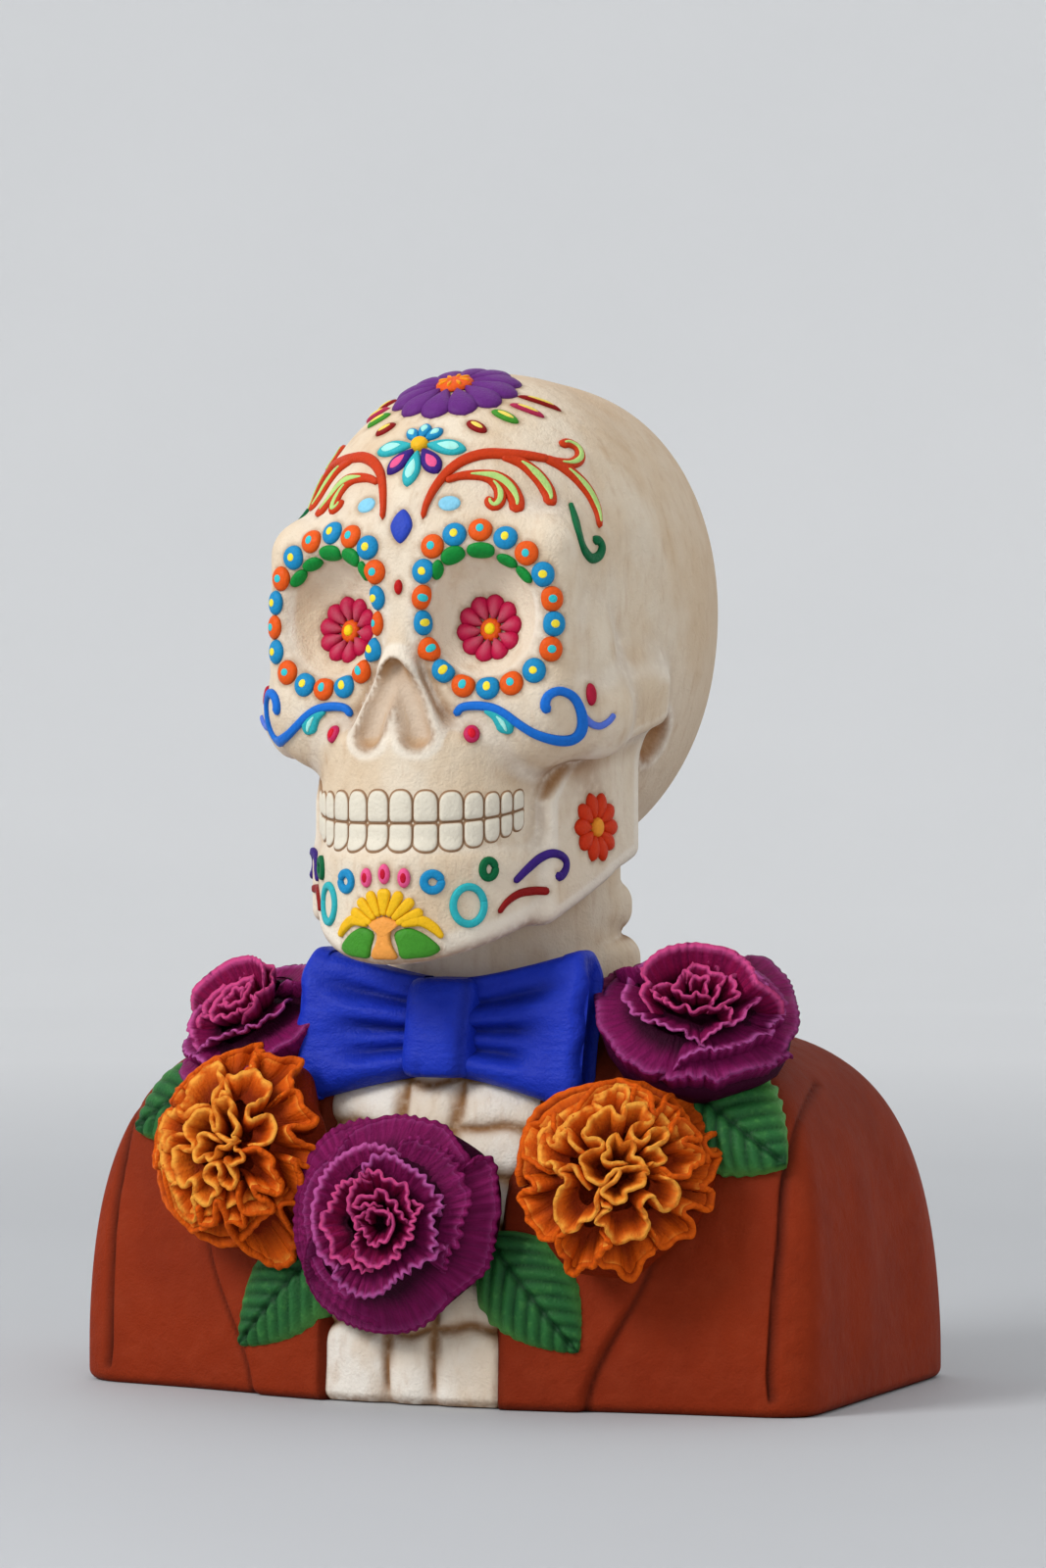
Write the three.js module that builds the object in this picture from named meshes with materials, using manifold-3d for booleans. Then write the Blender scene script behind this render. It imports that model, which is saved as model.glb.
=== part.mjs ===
// A painted, cast bust of a Day of the Dead skeleton: a sugar-skull head on a neck of
// vertebrae, a jacket open over the ribs, a bow tie, and a garland of three roses, two
// marigolds and four leaves. It is one casting, so all of it is joined into one closed solid.
//
// Millimetres, +Z up. The figure faces -Y and its left side is +X. The origin is on the flat
// underside, midway across the jacket. Left and right match, apart from the marigolds and the
// shoulder roses, which were set by hand.

import * as THREE from "three";
import { mergeVertices } from "three/addons/utils/BufferGeometryUtils.js";
import Module from "manifold-3d";

// Driving dimensions.
const JACKET_WIDTH = 250;
const JACKET_FRONT = 61; // from the origin to the front at the sleeves
const JACKET_BACK = 70;
const CHEST_BULGE = 15; // how far the middle of the chest stands before the sleeves
const SHOULDER_HEIGHT = 113; // where the shoulders meet the neck
const FOOT_ROUNDING = 3.5; // radius of the edge round the underside
const OPENING_HALF_WIDTH = 28.4; // of the jacket's opening, at the underside
const LAPEL_HALF_WIDTH = 55; // at the underside
const LAPEL_SPREAD = 16; // how much wider the lapels are under the marigolds
const LAPEL_RISE = 2.6; // the lapels stand this far above the ribs
const SEAM_HALF_WIDTH = 109; // the sleeve seams, from the middle
const SEAM_DEPTH = 1.6;
const RIB_PITCH = 15;
const RIB_GROOVE_DEPTH = 2;
const STERNUM_HALF_WIDTH = 7.8;

const CHIN_HEIGHT = 134; // of the chin's lowest point
const SKULL_HEIGHT = 184; // from the chin to the crown
const NECK_RADIUS = 37.5; // of the topmost vertebra
const NECK_SPREAD = 2.3; // each lower vertebra is this much larger in radius
const VERTEBRA_PITCH = 17.5;

const BOW_WIDTH = 96;
const BOW_HEIGHT = 50; // at the ends of the wings
const BOW_PINCH = 31; // its height beside the knot
const BOW_MIDDLE_HEIGHT = 114; // of the knot's middle
const BOW_THICKNESS = 19;
const KNOT_WIDTH = 27;
const KNOT_HEIGHT = 29;

const ROSE_RADIUS = 32;
const ROSE_HEIGHT = 26;
const SHOULDER_ROSE_HEIGHT = 18;
const SHOULDER_ROSE_LIFT = 14; // its base is lifted this far so that it faces up clear of the bow
const MARIGOLD_RADIUS = 33.5;
const MARIGOLD_HEIGHT = 24;
const FLOWER_SINK = 12; // how far a flower's base reaches down, into the chest
const FILL_RADIUS = 15; // of the mass that fills the gap between a marigold and a rose
const LEAF_THICKNESS = 5;
const LOW_LEAF_LENGTH = 50;
const SIDE_LEAF_LENGTH = 44;
const LEAF_WIDTH = 27;

const EYE_FLOWER_RADIUS = 11.2;
const BROW_FLOWER_RADIUS = 11.5;
const CROWN_FLOWER_RADIUS = 19;
const PETAL_RISE = 2.4; // of the flowers on the skull

// The skull is sculpted in 184ths of its height, measured up from the chin.
const PART = SKULL_HEIGHT / 184;
const SCULPTED_CHIN = 134;
const toSculpted = ([x, y, z]) => [
  x / PART,
  y / PART,
  (z - CHIN_HEIGHT) / PART + SCULPTED_CHIN,
];
const fromSculpted = (x, y, z) =>
  new THREE.Vector3(x * PART, y * PART, (z - SCULPTED_CHIN) * PART + CHIN_HEIGHT);

const UP = new THREE.Vector3(0, 0, 1);
const clamp = (v, low, high) => Math.min(Math.max(v, low), high);
const mix = (a, b, t) => a + (b - a) * t;

const wasm = await Module();
wasm.setup();

// Solids and meshes.

// A closed geometry as a solid for joining and cutting.
function solid(geometry) {
  const bare = geometry.index ? geometry.toNonIndexed() : geometry.clone();
  bare.deleteAttribute("normal");
  bare.deleteAttribute("uv");
  const merged = mergeVertices(bare, 1e-4);
  return new wasm.Manifold(
    new wasm.Mesh({
      numProp: 3,
      vertProperties: new Float32Array(merged.attributes.position.array),
      triVerts: new Uint32Array(merged.index.array),
    }),
  );
}

function geometryOf(body) {
  const mesh = body.getMesh();
  const geometry = new THREE.BufferGeometry();
  geometry.setAttribute("position", new THREE.BufferAttribute(mesh.vertProperties, 3));
  geometry.setIndex(new THREE.BufferAttribute(mesh.triVerts, 1));
  return geometry;
}

// A geometry from points and faces of three or four corners, which are split the shorter way.
function faceted(points, faces) {
  const geometry = new THREE.BufferGeometry();
  geometry.setAttribute(
    "position",
    new THREE.Float32BufferAttribute(points.flatMap((p) => [p.x, p.y, p.z]), 3),
  );
  const split = ([a, b, c, d]) => {
    if (d === undefined) return [a, b, c];
    const shorter = points[a].distanceTo(points[c]) < points[b].distanceTo(points[d]);
    return shorter ? [a, b, c, a, c, d] : [a, b, d, b, c, d];
  };
  geometry.setIndex(faces.flatMap(split));
  return geometry;
}

const middleOf = (points) =>
  points.reduce((sum, p) => sum.add(p), new THREE.Vector3()).divideScalar(points.length);

// Rings of equal length, one above the other, closed at both ends by a fan to a middle point.
function stacked(rings, firstMiddle = middleOf(rings[0]), lastMiddle = middleOf(rings.at(-1))) {
  const n = rings[0].length;
  const points = [...rings.flat(), firstMiddle, lastMiddle];
  const faces = [];
  for (let r = 0; r + 1 < rings.length; r++)
    for (let i = 0; i < n; i++) {
      const next = (i + 1) % n;
      faces.push([r * n + i, r * n + next, (r + 1) * n + next, (r + 1) * n + i]);
    }
  const last = (rings.length - 1) * n;
  for (let i = 0; i < n; i++) {
    const next = (i + 1) % n;
    faces.push([next, i, points.length - 2], [last + i, last + next, points.length - 1]);
  }
  return faceted(points, faces);
}

// The other side of a geometry, left for right.
function mirrored(geometry) {
  const copy = geometry.toNonIndexed();
  copy.scale(-1, 1, 1);
  const a = copy.attributes.position.array;
  for (let i = 0; i < a.length; i += 9)
    for (let k = 0; k < 3; k++) [a[i + 3 + k], a[i + 6 + k]] = [a[i + 6 + k], a[i + 3 + k]];
  return copy;
}

// Places a geometry made about +Z so that its +Z runs along `axis`.
function placed(geometry, at, axis) {
  const z = axis.clone().normalize();
  const x = new THREE.Vector3().crossVectors(UP, z).normalize();
  const y = new THREE.Vector3().crossVectors(z, x);
  return geometry.applyMatrix4(new THREE.Matrix4().makeBasis(x, y, z).setPosition(at));
}

// Signed distances, from which the skull is sculpted.

function ellipsoid([x, y, z], [cx, cy, cz], [rx, ry, rz]) {
  const a = [(x - cx) / rx, (y - cy) / ry, (z - cz) / rz];
  const share = Math.hypot(...a) + 1e-9;
  const slope = Math.hypot(a[0] / rx, a[1] / ry, a[2] / rz) + 1e-9;
  return (share * (share - 1)) / slope;
}

function cone([x, y, z], a, b, ra, rb) {
  const ab = [b[0] - a[0], b[1] - a[1], b[2] - a[2]];
  const ap = [x - a[0], y - a[1], z - a[2]];
  const along = ap[0] * ab[0] + ap[1] * ab[1] + ap[2] * ab[2];
  const t = clamp(along / (ab[0] ** 2 + ab[1] ** 2 + ab[2] ** 2), 0, 1);
  const away = Math.hypot(ap[0] - t * ab[0], ap[1] - t * ab[1], ap[2] - t * ab[2]);
  return away - mix(ra, rb, t);
}

// The distance to a box whose faces are the distances given, with its edges rounded.
function rounded(faces, edge) {
  const [a, b, c] = faces.map((v) => v + edge);
  const outside = Math.hypot(Math.max(a, 0), Math.max(b, 0), Math.max(c, 0));
  return Math.min(Math.max(a, b, c), 0) + outside - edge;
}

function column([x, y, z], [cx, cy], [rx, ry], low, high, edge) {
  const around = ellipsoid([x, y, 0], [cx, cy, 0], [rx, ry, 1]);
  const tall = Math.abs(z - (low + high) / 2) - (high - low) / 2;
  return rounded([around, tall, -edge], edge);
}

// Coordinates along and across an upright plate whose ends are over plan points `a` and `b`.
function plate([x, y], a, b) {
  const length = Math.hypot(b[0] - a[0], b[1] - a[1]);
  const along = [(b[0] - a[0]) / length, (b[1] - a[1]) / length];
  const dx = x - (a[0] + b[0]) / 2;
  const dy = y - (a[1] + b[1]) / 2;
  return { u: dx * along[0] + dy * along[1], v: dx * along[1] - dy * along[0], length };
}

function join(a, b, blend) {
  const h = clamp(0.5 + (0.5 * (b - a)) / blend, 0, 1);
  return mix(b, a, h) - blend * h * (1 - h);
}

const carve = (a, b, blend) => -join(-a, b, blend);

// The skull, at a sculpted point.

// The lower jaw's underside rises from the chin to its corner.
const jawEdge = (y) => SCULPTED_CHIN + 0.426 * (y + 90);

// The jaw's branch runs up before the ear and flares outwards to the back.
function jawBranch(p) {
  const { u, v, length } = plate(p, [42, -44], [49, -14]);
  const tall = Math.max(p[2] - 214, (jawEdge(p[1]) - p[2]) * 0.92);
  return rounded([Math.abs(u) - length / 2, Math.abs(v + 3.2) - 4.8, tall], 3);
}

function lowerJaw(p) {
  const overEdge = (p[2] - jawEdge(p[1])) * 0.92;
  const arch = carve(column(p, [0, -30], [43, 63.5], 120, 170, 5), overEdge, 6);
  return join(Math.max(arch, p[1] + 34), jawBranch(p), 3);
}

// The cheekbone and the arch behind it, a thick band that ends square before the ear.
function cheek(p) {
  const bone = cone(p, [37, -61.5, 209], [49, -50, 210.5], 14.5, 12.5);
  const { u, v, length } = plate(p, [48.5, -52], [53.5, -12]);
  const back = clamp(u / length + 0.45, 0, 1);
  const tall = Math.abs(p[2] - mix(211, 214.2, back)) - mix(8.2, 6, back);
  const arch = rounded([Math.abs(u) - length / 2, Math.abs(v) - 6.5, tall], 5);
  return join(bone, arch, 6);
}

function orbit(p) {
  const { u, v } = plate(p, [0, -65.7], [50, -53.3]);
  const brow = rounded([Math.abs(u) - 25, Math.abs(v) - 17.5, Math.abs(p[2] - 237) - 27.5], 9);
  return join(brow, ellipsoid(p, [42, -53, 227], [14.5, 15, 21]), 6);
}

function nose(p) {
  const rim = cone(p, [0, -78.5, 228], [7, -80, 206.5], 7, 8.6);
  const root = cone(p, [0, -74, 246], [0, -78, 230], 5.5, 6.5);
  return join(rim, root, 3);
}

function skullDistance([side, y, z]) {
  const p = [Math.hypot(side, 0.2), y, z];
  const braincase = ellipsoid(p, [0, 6, 239], [58.5, 85, 78.5]);
  const forehead = ellipsoid(p, [0, -25, 255], [54, 54.5, 59]);
  let d = join(braincase, forehead, 14);
  d = join(d, orbit(p), 9);
  d = join(d, cone(p, [0, -69.5, 272], [0, -77, 236], 9, 7), 8);
  d = join(d, cheek(p), 5);
  d = join(d, ellipsoid(p, [20, -60, 208], [24, 18, 18]), 8);
  d = join(d, column(p, [0, -54], [36, 36], 158, 206, 6), 6);
  d = join(d, ellipsoid(p, [29, -38, 186], [12, 18, 24]), 5);
  d = join(d, nose(p), 2.5);
  const socket = ellipsoid(p, [26.5, -82, 241], [19.5, 17, 22.5]);
  const temple = ellipsoid(p, [69, -34, 248], [13, 20, 26]);
  d = carve(carve(d, socket, 3), temple, 8);
  return join(d, lowerJaw(p), 4);
}

const headDistance = (p) => skullDistance(toSculpted(p.toArray())) * PART;

// The way in which a distance grows at a point.
function slopeOf(distance, p) {
  const step = 0.5;
  const slope = ["x", "y", "z"].map((axis) => {
    const [a, b] = [p.clone(), p.clone()];
    a[axis] += step;
    b[axis] -= step;
    return (distance(a) - distance(b)) / (2 * step);
  });
  return new THREE.Vector3(...slope);
}

// The surface where a distance is zero: one point for each cell of a lattice that it crosses.
// `counts` are the lattice's points each way, and `place` says where each of them is.
function surfaceOf(distance, counts, place) {
  const at = ([i, j, k]) => (i * counts[1] + j) * counts[2] + k;
  const every = (last, visit) => {
    for (let i = 0; i < counts[0] - last; i++)
      for (let j = 0; j < counts[1] - last; j++)
        for (let k = 0; k < counts[2] - last; k++) visit([i, j, k]);
  };
  const where = [];
  every(0, (c) => where.push(place(...c)));
  const value = where.map(distance);
  const moved = (c, axis, by = 1) => c.map((v, q) => (q === axis ? v + by : v));
  const crossed = (a, b) => value[at(a)] < 0 !== value[at(b)] < 0;

  const points = [];
  const pointOf = new Map();
  every(1, (cell) => {
    const found = [];
    for (let n = 0; n < 8; n++)
      for (let axis = 0; axis < 3; axis++) {
        if ((n >> axis) & 1) continue;
        const a = cell.map((v, q) => v + ((n >> q) & 1));
        const b = moved(a, axis);
        if (!crossed(a, b)) continue;
        const t = value[at(a)] / (value[at(a)] - value[at(b)]);
        found.push(where[at(a)].clone().lerp(where[at(b)], t));
      }
    if (!found.length) return;
    const p = middleOf(found);
    const slope = slopeOf(distance, p);
    pointOf.set(at(cell), points.length);
    points.push(p.addScaledVector(slope, -distance(p) / Math.max(slope.lengthSq(), 0.3)));
  });

  const faces = [];
  every(1, (a) => {
    for (let axis = 0; axis < 3; axis++) {
      if (!crossed(a, moved(a, axis))) continue;
      const [b, c] = [(axis + 1) % 3, (axis + 2) % 3];
      const round = [[-1, -1], [0, -1], [0, 0], [-1, 0]];
      const quad = round.map(([db, dc]) => pointOf.get(at(moved(moved(a, b, db), c, dc))));
      faces.push(value[at(a)] < 0 ? quad : quad.reverse());
    }
  });
  return faceted(points, faces);
}

// The skull's lattice is fine at the face and grows coarser towards the back of the head.
function skull() {
  const cell = 6.6 * PART;
  const front = -104 * PART;
  const growth = 0.0072 / PART;
  const middleHeight = CHIN_HEIGHT + 90 * PART;
  const across = 22;
  const counts = [across + 1, 22, 36];
  const place = (i, j, k) => {
    const y = front + (Math.exp(growth * cell * j) - 1) / growth;
    const size = cell * (1 + growth * (y - front));
    return new THREE.Vector3((i - across / 2) * size, y, middleHeight + (k - 17) * size);
  };
  return solid(surfaceOf(headDistance, counts, place)).subtract(noseOpening());
}

// Two hollows that lean together at the top and are parted below by a ridge.
function noseOpening() {
  const hollow = new THREE.SphereGeometry(1, 8, 8).rotateX(Math.PI / 2);
  hollow.scale(5.6, 10, 11.5).rotateY(THREE.MathUtils.degToRad(17)).scale(PART, PART, PART);
  const at = fromSculpted(5, -88, 213.5);
  hollow.translate(at.x, at.y, at.z);
  return solid(hollow).add(solid(mirrored(hollow)));
}

// The vertebrae are thick rounded discs, larger towards the shoulders.
function neck() {
  const top = CHIN_HEIGHT + 36 * PART;
  const foot = SHOULDER_HEIGHT - 20;
  const profile = [[0, foot], [NECK_RADIUS, foot]];
  for (let i = 2; i >= 0; i--) {
    const middle = CHIN_HEIGHT + 16 - i * VERTEBRA_PITCH;
    const radius = NECK_RADIUS + i * NECK_SPREAD;
    const half = VERTEBRA_PITCH / 2;
    profile.push([radius - 3.5, middle - half], [radius, middle - half / 2]);
    profile.push([radius, middle + half / 2]);
  }
  profile.push([NECK_RADIUS - 3.5, top], [0, top]);
  const turned = new THREE.LatheGeometry(
    profile.map(([r, z]) => new THREE.Vector2(r, z)),
    18,
  );
  return solid(turned.rotateX(Math.PI / 2).translate(0, 2, 0));
}

// Where the face lies behind sculpted x and z, and the way that it looks there.
function faceAt(x, z) {
  const at = fromSculpted(x, -130, z);
  for (let i = 0; i < 60; i++) at.y += headDistance(at) * 0.8;
  return { at, normal: slopeOf(headDistance, at).normalize() };
}

// A low flower on the skull, with a raised heart.
function paintedFlower(x, z, radius, petals) {
  const { at, normal } = faceAt(x, z);
  const sink = 2;
  const ring = (share, height, wave) =>
    Array.from({ length: petals * 2 }, (_, i) => {
      const a = (i / petals) * Math.PI;
      const r = radius * share * (i % 2 ? 1 - wave : 1);
      return new THREE.Vector3(r * Math.cos(a), r * Math.sin(a), height);
    });
  const rings = [ring(1, -sink, 0.2), ring(1, PETAL_RISE * 0.4, 0.2)];
  const heart = new THREE.Vector3(0, 0, PETAL_RISE * 1.2);
  return solid(placed(stacked(rings, undefined, heart), at, normal));
}

// Teeth stand in an arc on the jaws, in two rows that meet at the bite.
const TOOTH_WIDTHS = [8.5, 8.3, 7.8, 7.2, 6.4, 5.6, 4.8];
const TOOTH_HEIGHTS = [10.2, 10, 9.8, 9.2, 8.4, 7.6, 6.6];
const TOOTH_GAP = 0.8;
const BITE_HEIGHT = 177;
const TOOTH_ARCH = { middle: -54, across: 37, deep: 37.4 };

function teeth() {
  const made = [];
  const { middle, across, deep } = TOOTH_ARCH;
  let angle = 0;
  TOOTH_WIDTHS.forEach((width, i) => {
    const reach = Math.hypot(across * Math.cos(angle), deep * Math.sin(angle));
    const here = angle + width / 2 / reach;
    angle += width / reach;
    const turn = Math.atan2(deep * Math.sin(here), across * Math.cos(here));
    for (const side of [-1, 1])
      for (const row of [-1, 1]) {
        const height = TOOTH_HEIGHTS[i];
        const size = [width - TOOTH_GAP, 5, height - TOOTH_GAP].map((v) => v * PART);
        const tooth = new THREE.BoxGeometry(...size).rotateZ(side * turn);
        const x = side * across * Math.sin(here);
        const y = middle - deep * Math.cos(here) + 1.4;
        const at = fromSculpted(x, y, BITE_HEIGHT + (row * height) / 2);
        made.push(solid(tooth.translate(at.x, at.y, at.z)));
      }
  });
  return made;
}

// The jacket rises from an outline on the floor to the neck, rounded over the shoulders.

const HALF_JACKET = JACKET_WIDTH / 2;
const PLAN_SQUARENESS = 15;
const SHOULDER_SQUARENESS = 3.6;
const CHEST_LEAN = 2; // a plain ellipse, so that the chest leans back as it rises
const BACK_LEAN = 1.75; // rounder than the chest

// The outline, from the middle of the front round to the middle of the back.
const OUTLINE = Array.from({ length: 721 }, (_, i) => {
  const turn = (i / 720) * Math.PI;
  const deep = i < 360 ? JACKET_FRONT : JACKET_BACK;
  const across = Math.abs(Math.sin(turn) / HALF_JACKET) ** PLAN_SQUARENESS;
  const along = Math.abs(Math.cos(turn) / deep) ** PLAN_SQUARENESS;
  const reach = (across + along) ** (-1 / PLAN_SQUARENESS);
  const x = reach * Math.sin(turn);
  const bulge = i < 360 ? (CHEST_BULGE * (1 + Math.cos((Math.PI * x) / HALF_JACKET))) / 2 : 0;
  return new THREE.Vector2(x, -reach * Math.cos(turn) - bulge);
});

const lengths = [0];
OUTLINE.slice(1).forEach((p, i) => lengths.push(lengths[i] + p.distanceTo(OUTLINE[i])));
const BACK_LENGTH = lengths.at(-1);
const SIDE_LENGTH = lengths[360];
const lengthAtX = (x) => lengths[OUTLINE.findIndex((p) => p.x >= x)];

function outlineAt(length) {
  const i = clamp(lengths.findIndex((v) => v >= length), 1, OUTLINE.length - 1);
  const t = (length - lengths[i - 1]) / (lengths[i] - lengths[i - 1]);
  return OUTLINE[i - 1].clone().lerp(OUTLINE[i], t);
}

// A point of the jacket above `length` along its outline, at a height, and `out` from it.
function jacketPoint(length, z, out = 0) {
  const base = outlineAt(length);
  const turn = Math.atan2(base.x, -base.y);
  const neckRadius = NECK_RADIUS + NECK_SPREAD;
  const collar = [neckRadius * Math.sin(turn), 2 - neckRadius * Math.cos(turn)];
  const share = z / SHOULDER_HEIGHT;
  const reach = (squareness) => Math.max(1 - share ** squareness, 0) ** (1 / squareness);
  const foot = 1 - Math.min(z / FOOT_ROUNDING, 1);
  const inset = FOOT_ROUNDING * (1 - Math.sqrt(1 - foot ** 2));
  const grown = 1 + (out - inset) / base.length();
  return new THREE.Vector3(
    mix(collar[0], base.x * grown, reach(SHOULDER_SQUARENESS)),
    mix(collar[1], base.y * grown, reach(base.y < 0 ? CHEST_LEAN : BACK_LEAN)),
    z,
  );
}

// The chest at a distance from the middle and a height, and the way that it faces there.
function chestAt(x, z) {
  let low = 0;
  let high = SIDE_LENGTH;
  for (let i = 0; i < 30; i++) {
    const half = (low + high) / 2;
    if (jacketPoint(half, z).x < Math.abs(x)) low = half;
    else high = half;
  }
  const across = jacketPoint(low + 1, z).sub(jacketPoint(Math.max(low - 1, 0), z));
  const up = jacketPoint(low, z + 1).sub(jacketPoint(low, z - 1));
  const normal = across.cross(up).normalize();
  const at = jacketPoint(low, z);
  const mirror = new THREE.Vector3(x < 0 ? -1 : 1, 1, 1);
  return { at: at.multiply(mirror), normal: normal.multiply(mirror) };
}

// Ribs, lapels, fronts, sleeve seams and sleeves, as lengths along the outline and how far
// each stands out. The ribs are grooved between the breastbone and the opening's edge.
function jacket() {
  const open = lengthAtX(OPENING_HALF_WIDTH);
  const seam = lengthAtX(SEAM_HALF_WIDTH);
  const front = LAPEL_RISE / 2;
  const grooved = -RIB_GROOVE_DEPTH;
  const lapelAt = (z) => lengthAtX(LAPEL_HALF_WIDTH + LAPEL_SPREAD * clamp((z - 15) / 30, 0, 1));
  const columnsAt = (lapel) => [
    [0, 0, 0],
    [STERNUM_HALF_WIDTH - 1.5, 0, 0],
    [STERNUM_HALF_WIDTH, -1, grooved],
    [open - 0.5, 0, grooved],
    [open, LAPEL_RISE, 0],
    [lapel, LAPEL_RISE, 0],
    [lapel + 1.2, front, 0],
    [(lapel + seam) / 2, front, 0],
    [seam - 1.3, front, 0],
    [seam, -SEAM_DEPTH, 0],
    [seam + 1.3, 0, 0],
    [mix(seam, SIDE_LENGTH, 0.35), 0, 0],
    ...Array.from({ length: 10 }, (_, i) => [mix(seam + 30, BACK_LENGTH, i / 9), 0, 0]),
  ];

  const heights = [0, FOOT_ROUNDING * 0.15, FOOT_ROUNDING * 0.5, FOOT_ROUNDING];
  for (let z = RIB_PITCH / 2; z < SHOULDER_HEIGHT * 0.97; z += RIB_PITCH / 2) heights.push(z);
  const ring = (z) => {
    const rib = Math.round(z / (RIB_PITCH / 2)) % 2 && z > FOOT_ROUNDING ? 1 : 0;
    const fade = clamp((SHOULDER_HEIGHT - z) / 12, 0, 1);
    const right = columnsAt(lapelAt(z)).map(([length, out, groove]) =>
      jacketPoint(length, z, (out + rib * groove) * fade),
    );
    const left = right.slice(1, -1).map((p) => new THREE.Vector3(-p.x, p.y, p.z));
    return [...right, ...left.reverse()];
  };
  const top = new THREE.Vector3(0, 0, SHOULDER_HEIGHT);
  return solid(stacked(heights.map(ring), new THREE.Vector3(0, 0, 0), top));
}

// The bow tie: two pleated wings pinched by a knot, leaning back with the chest.

function bowWing() {
  const rings = [0, 0.25, 0.5, 0.75, 0.92, 1].map((t) => {
    const tall = mix(BOW_PINCH, BOW_HEIGHT, t ** 1.3) / 2;
    const swell = mix(0.6, 1, Math.sin(Math.min(t * 1.3, 1) * (Math.PI / 2)));
    const face = [-1, -0.86, -0.5, -0.15, 0.2, 0.55, 0.86, 1].map((s) => {
      const pleat = mix(0.16, 0.05, t) * Math.cos(s * 3 * Math.PI);
      const round = Math.max(1 - s ** 6, 0) ** 0.5;
      const y = -BOW_THICKNESS * (swell * round * (0.5 + pleat));
      return [s * tall, y];
    });
    const back = [[tall * 0.7, BOW_THICKNESS / 2], [-tall * 0.7, BOW_THICKNESS / 2]];
    const x = mix(KNOT_WIDTH * 0.3, BOW_WIDTH / 2, t);
    return [...face, ...back].map(([z, y]) => new THREE.Vector3(x, y, z)).reverse();
  });
  return stacked(rings);
}

function bow() {
  const leanPerHeight = 0.2;
  const frontOfChest = chestAt(0, SHOULDER_HEIGHT * 0.8).at.y;
  const lean = new THREE.Matrix4().makeShear(0, 0, 0, 0, 0, leanPerHeight);
  lean.setPosition(0, frontOfChest + BOW_THICKNESS * 0.45, BOW_MIDDLE_HEIGHT);
  const wing = bowWing();
  const knot = new THREE.CylinderGeometry(KNOT_WIDTH / 2, KNOT_WIDTH / 2, KNOT_HEIGHT, 10);
  knot.rotateX(Math.PI / 2).scale(1, BOW_THICKNESS / KNOT_WIDTH + 0.3, 1);
  const backing = new THREE.BoxGeometry(BOW_WIDTH * 0.6, BOW_THICKNESS, KNOT_HEIGHT * 0.9);
  backing.translate(0, BOW_THICKNESS * 0.9, 0);
  return [wing, mirrored(wing), knot, backing].map((g) => solid(g.applyMatrix4(lean)));
}

// Flowers and leaves.

// Rings of petals about +Z, each with a raised lip, from the outline inwards to the heart.
function ruffledFlower({ radius, height, sink, rows, sides, waves, ruffle, rim, valley }) {
  const outline = (r, z, wave, phase) =>
    Array.from({ length: sides }, (_, i) => {
      const a = (i / sides) * 2 * Math.PI;
      const out = r * (1 + wave * Math.cos(waves * a + phase) + 0.03 * Math.cos(3 * a + phase));
      return new THREE.Vector3(out * Math.cos(a), out * Math.sin(a), z);
    });
  const levels = [outline(radius * 0.72, -sink, 0, 0)];
  const lip = (row) => radius * (1 - (row / rows) * 0.92);
  for (let row = 0; row < rows; row++) {
    const inwards = row / rows;
    const top = height * (1 - (1 - inwards) ** 1.8) + rim * (1 - inwards) ** 3;
    const phase = row * 1.9;
    levels.push(outline(lip(row), top, ruffle, phase));
    levels.push(outline(mix(lip(row), lip(row + 1), 0.75), top - valley, ruffle / 2, phase));
  }
  return stacked(levels, undefined, new THREE.Vector3(0, 0, height * 0.9));
}

const rose = (height, sink) =>
  ruffledFlower({
    radius: ROSE_RADIUS,
    height,
    sink,
    rows: 4,
    sides: 22,
    waves: 6,
    ruffle: 0.04,
    rim: 3,
    valley: 3.5,
  });

const marigold = () =>
  ruffledFlower({
    radius: MARIGOLD_RADIUS,
    height: MARIGOLD_HEIGHT,
    sink: FLOWER_SINK,
    rows: 4,
    sides: 26,
    waves: 9,
    ruffle: 0.08,
    rim: 1,
    valley: 3,
  });

function onChest(geometry, x, z, axis, lift) {
  const { at, normal } = chestAt(x, z);
  return solid(placed(geometry, at.addScaledVector(normal, lift), new THREE.Vector3(...axis)));
}

// A leaf from its stem at the origin along +X, arched over +Z, with a groove down its middle.
// Its underside is deep enough to reach into the chest.
function leaf(length) {
  const section = [[-0.6, -3], [0.6, -3], [1, 0], [0.5, 1], [0, 0.5], [-0.5, 1], [-1, 0]];
  const rings = [0.03, 0.2, 0.4, 0.6, 0.8, 0.97].map((t) => {
    const wide = (LEAF_WIDTH / 2) * Math.sin(Math.PI * t ** 0.85) ** 0.8;
    const arch = 2.5 * Math.sin(Math.PI * t);
    return section.map(([s, h]) => {
      const droop = arch - 1.2 * Math.abs(s);
      return new THREE.Vector3(length * t, s * wide, (h * LEAF_THICKNESS) / 2 + droop);
    });
  });
  return stacked(rings);
}

// Lays a leaf on the chest from one place towards another.
function leafOnChest(length, from, to) {
  const stem = chestAt(...from);
  const tip = chestAt(...to);
  const along = tip.at.sub(stem.at).normalize();
  const out = stem.normal.clone().add(tip.normal).normalize();
  const across = new THREE.Vector3().crossVectors(out, along).normalize();
  const face = new THREE.Vector3().crossVectors(along, across);
  const at = stem.at.addScaledVector(out, LEAF_THICKNESS * 0.6);
  const pose = new THREE.Matrix4().makeBasis(along, across, face).setPosition(at);
  return solid(leaf(length).applyMatrix4(pose));
}

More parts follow.
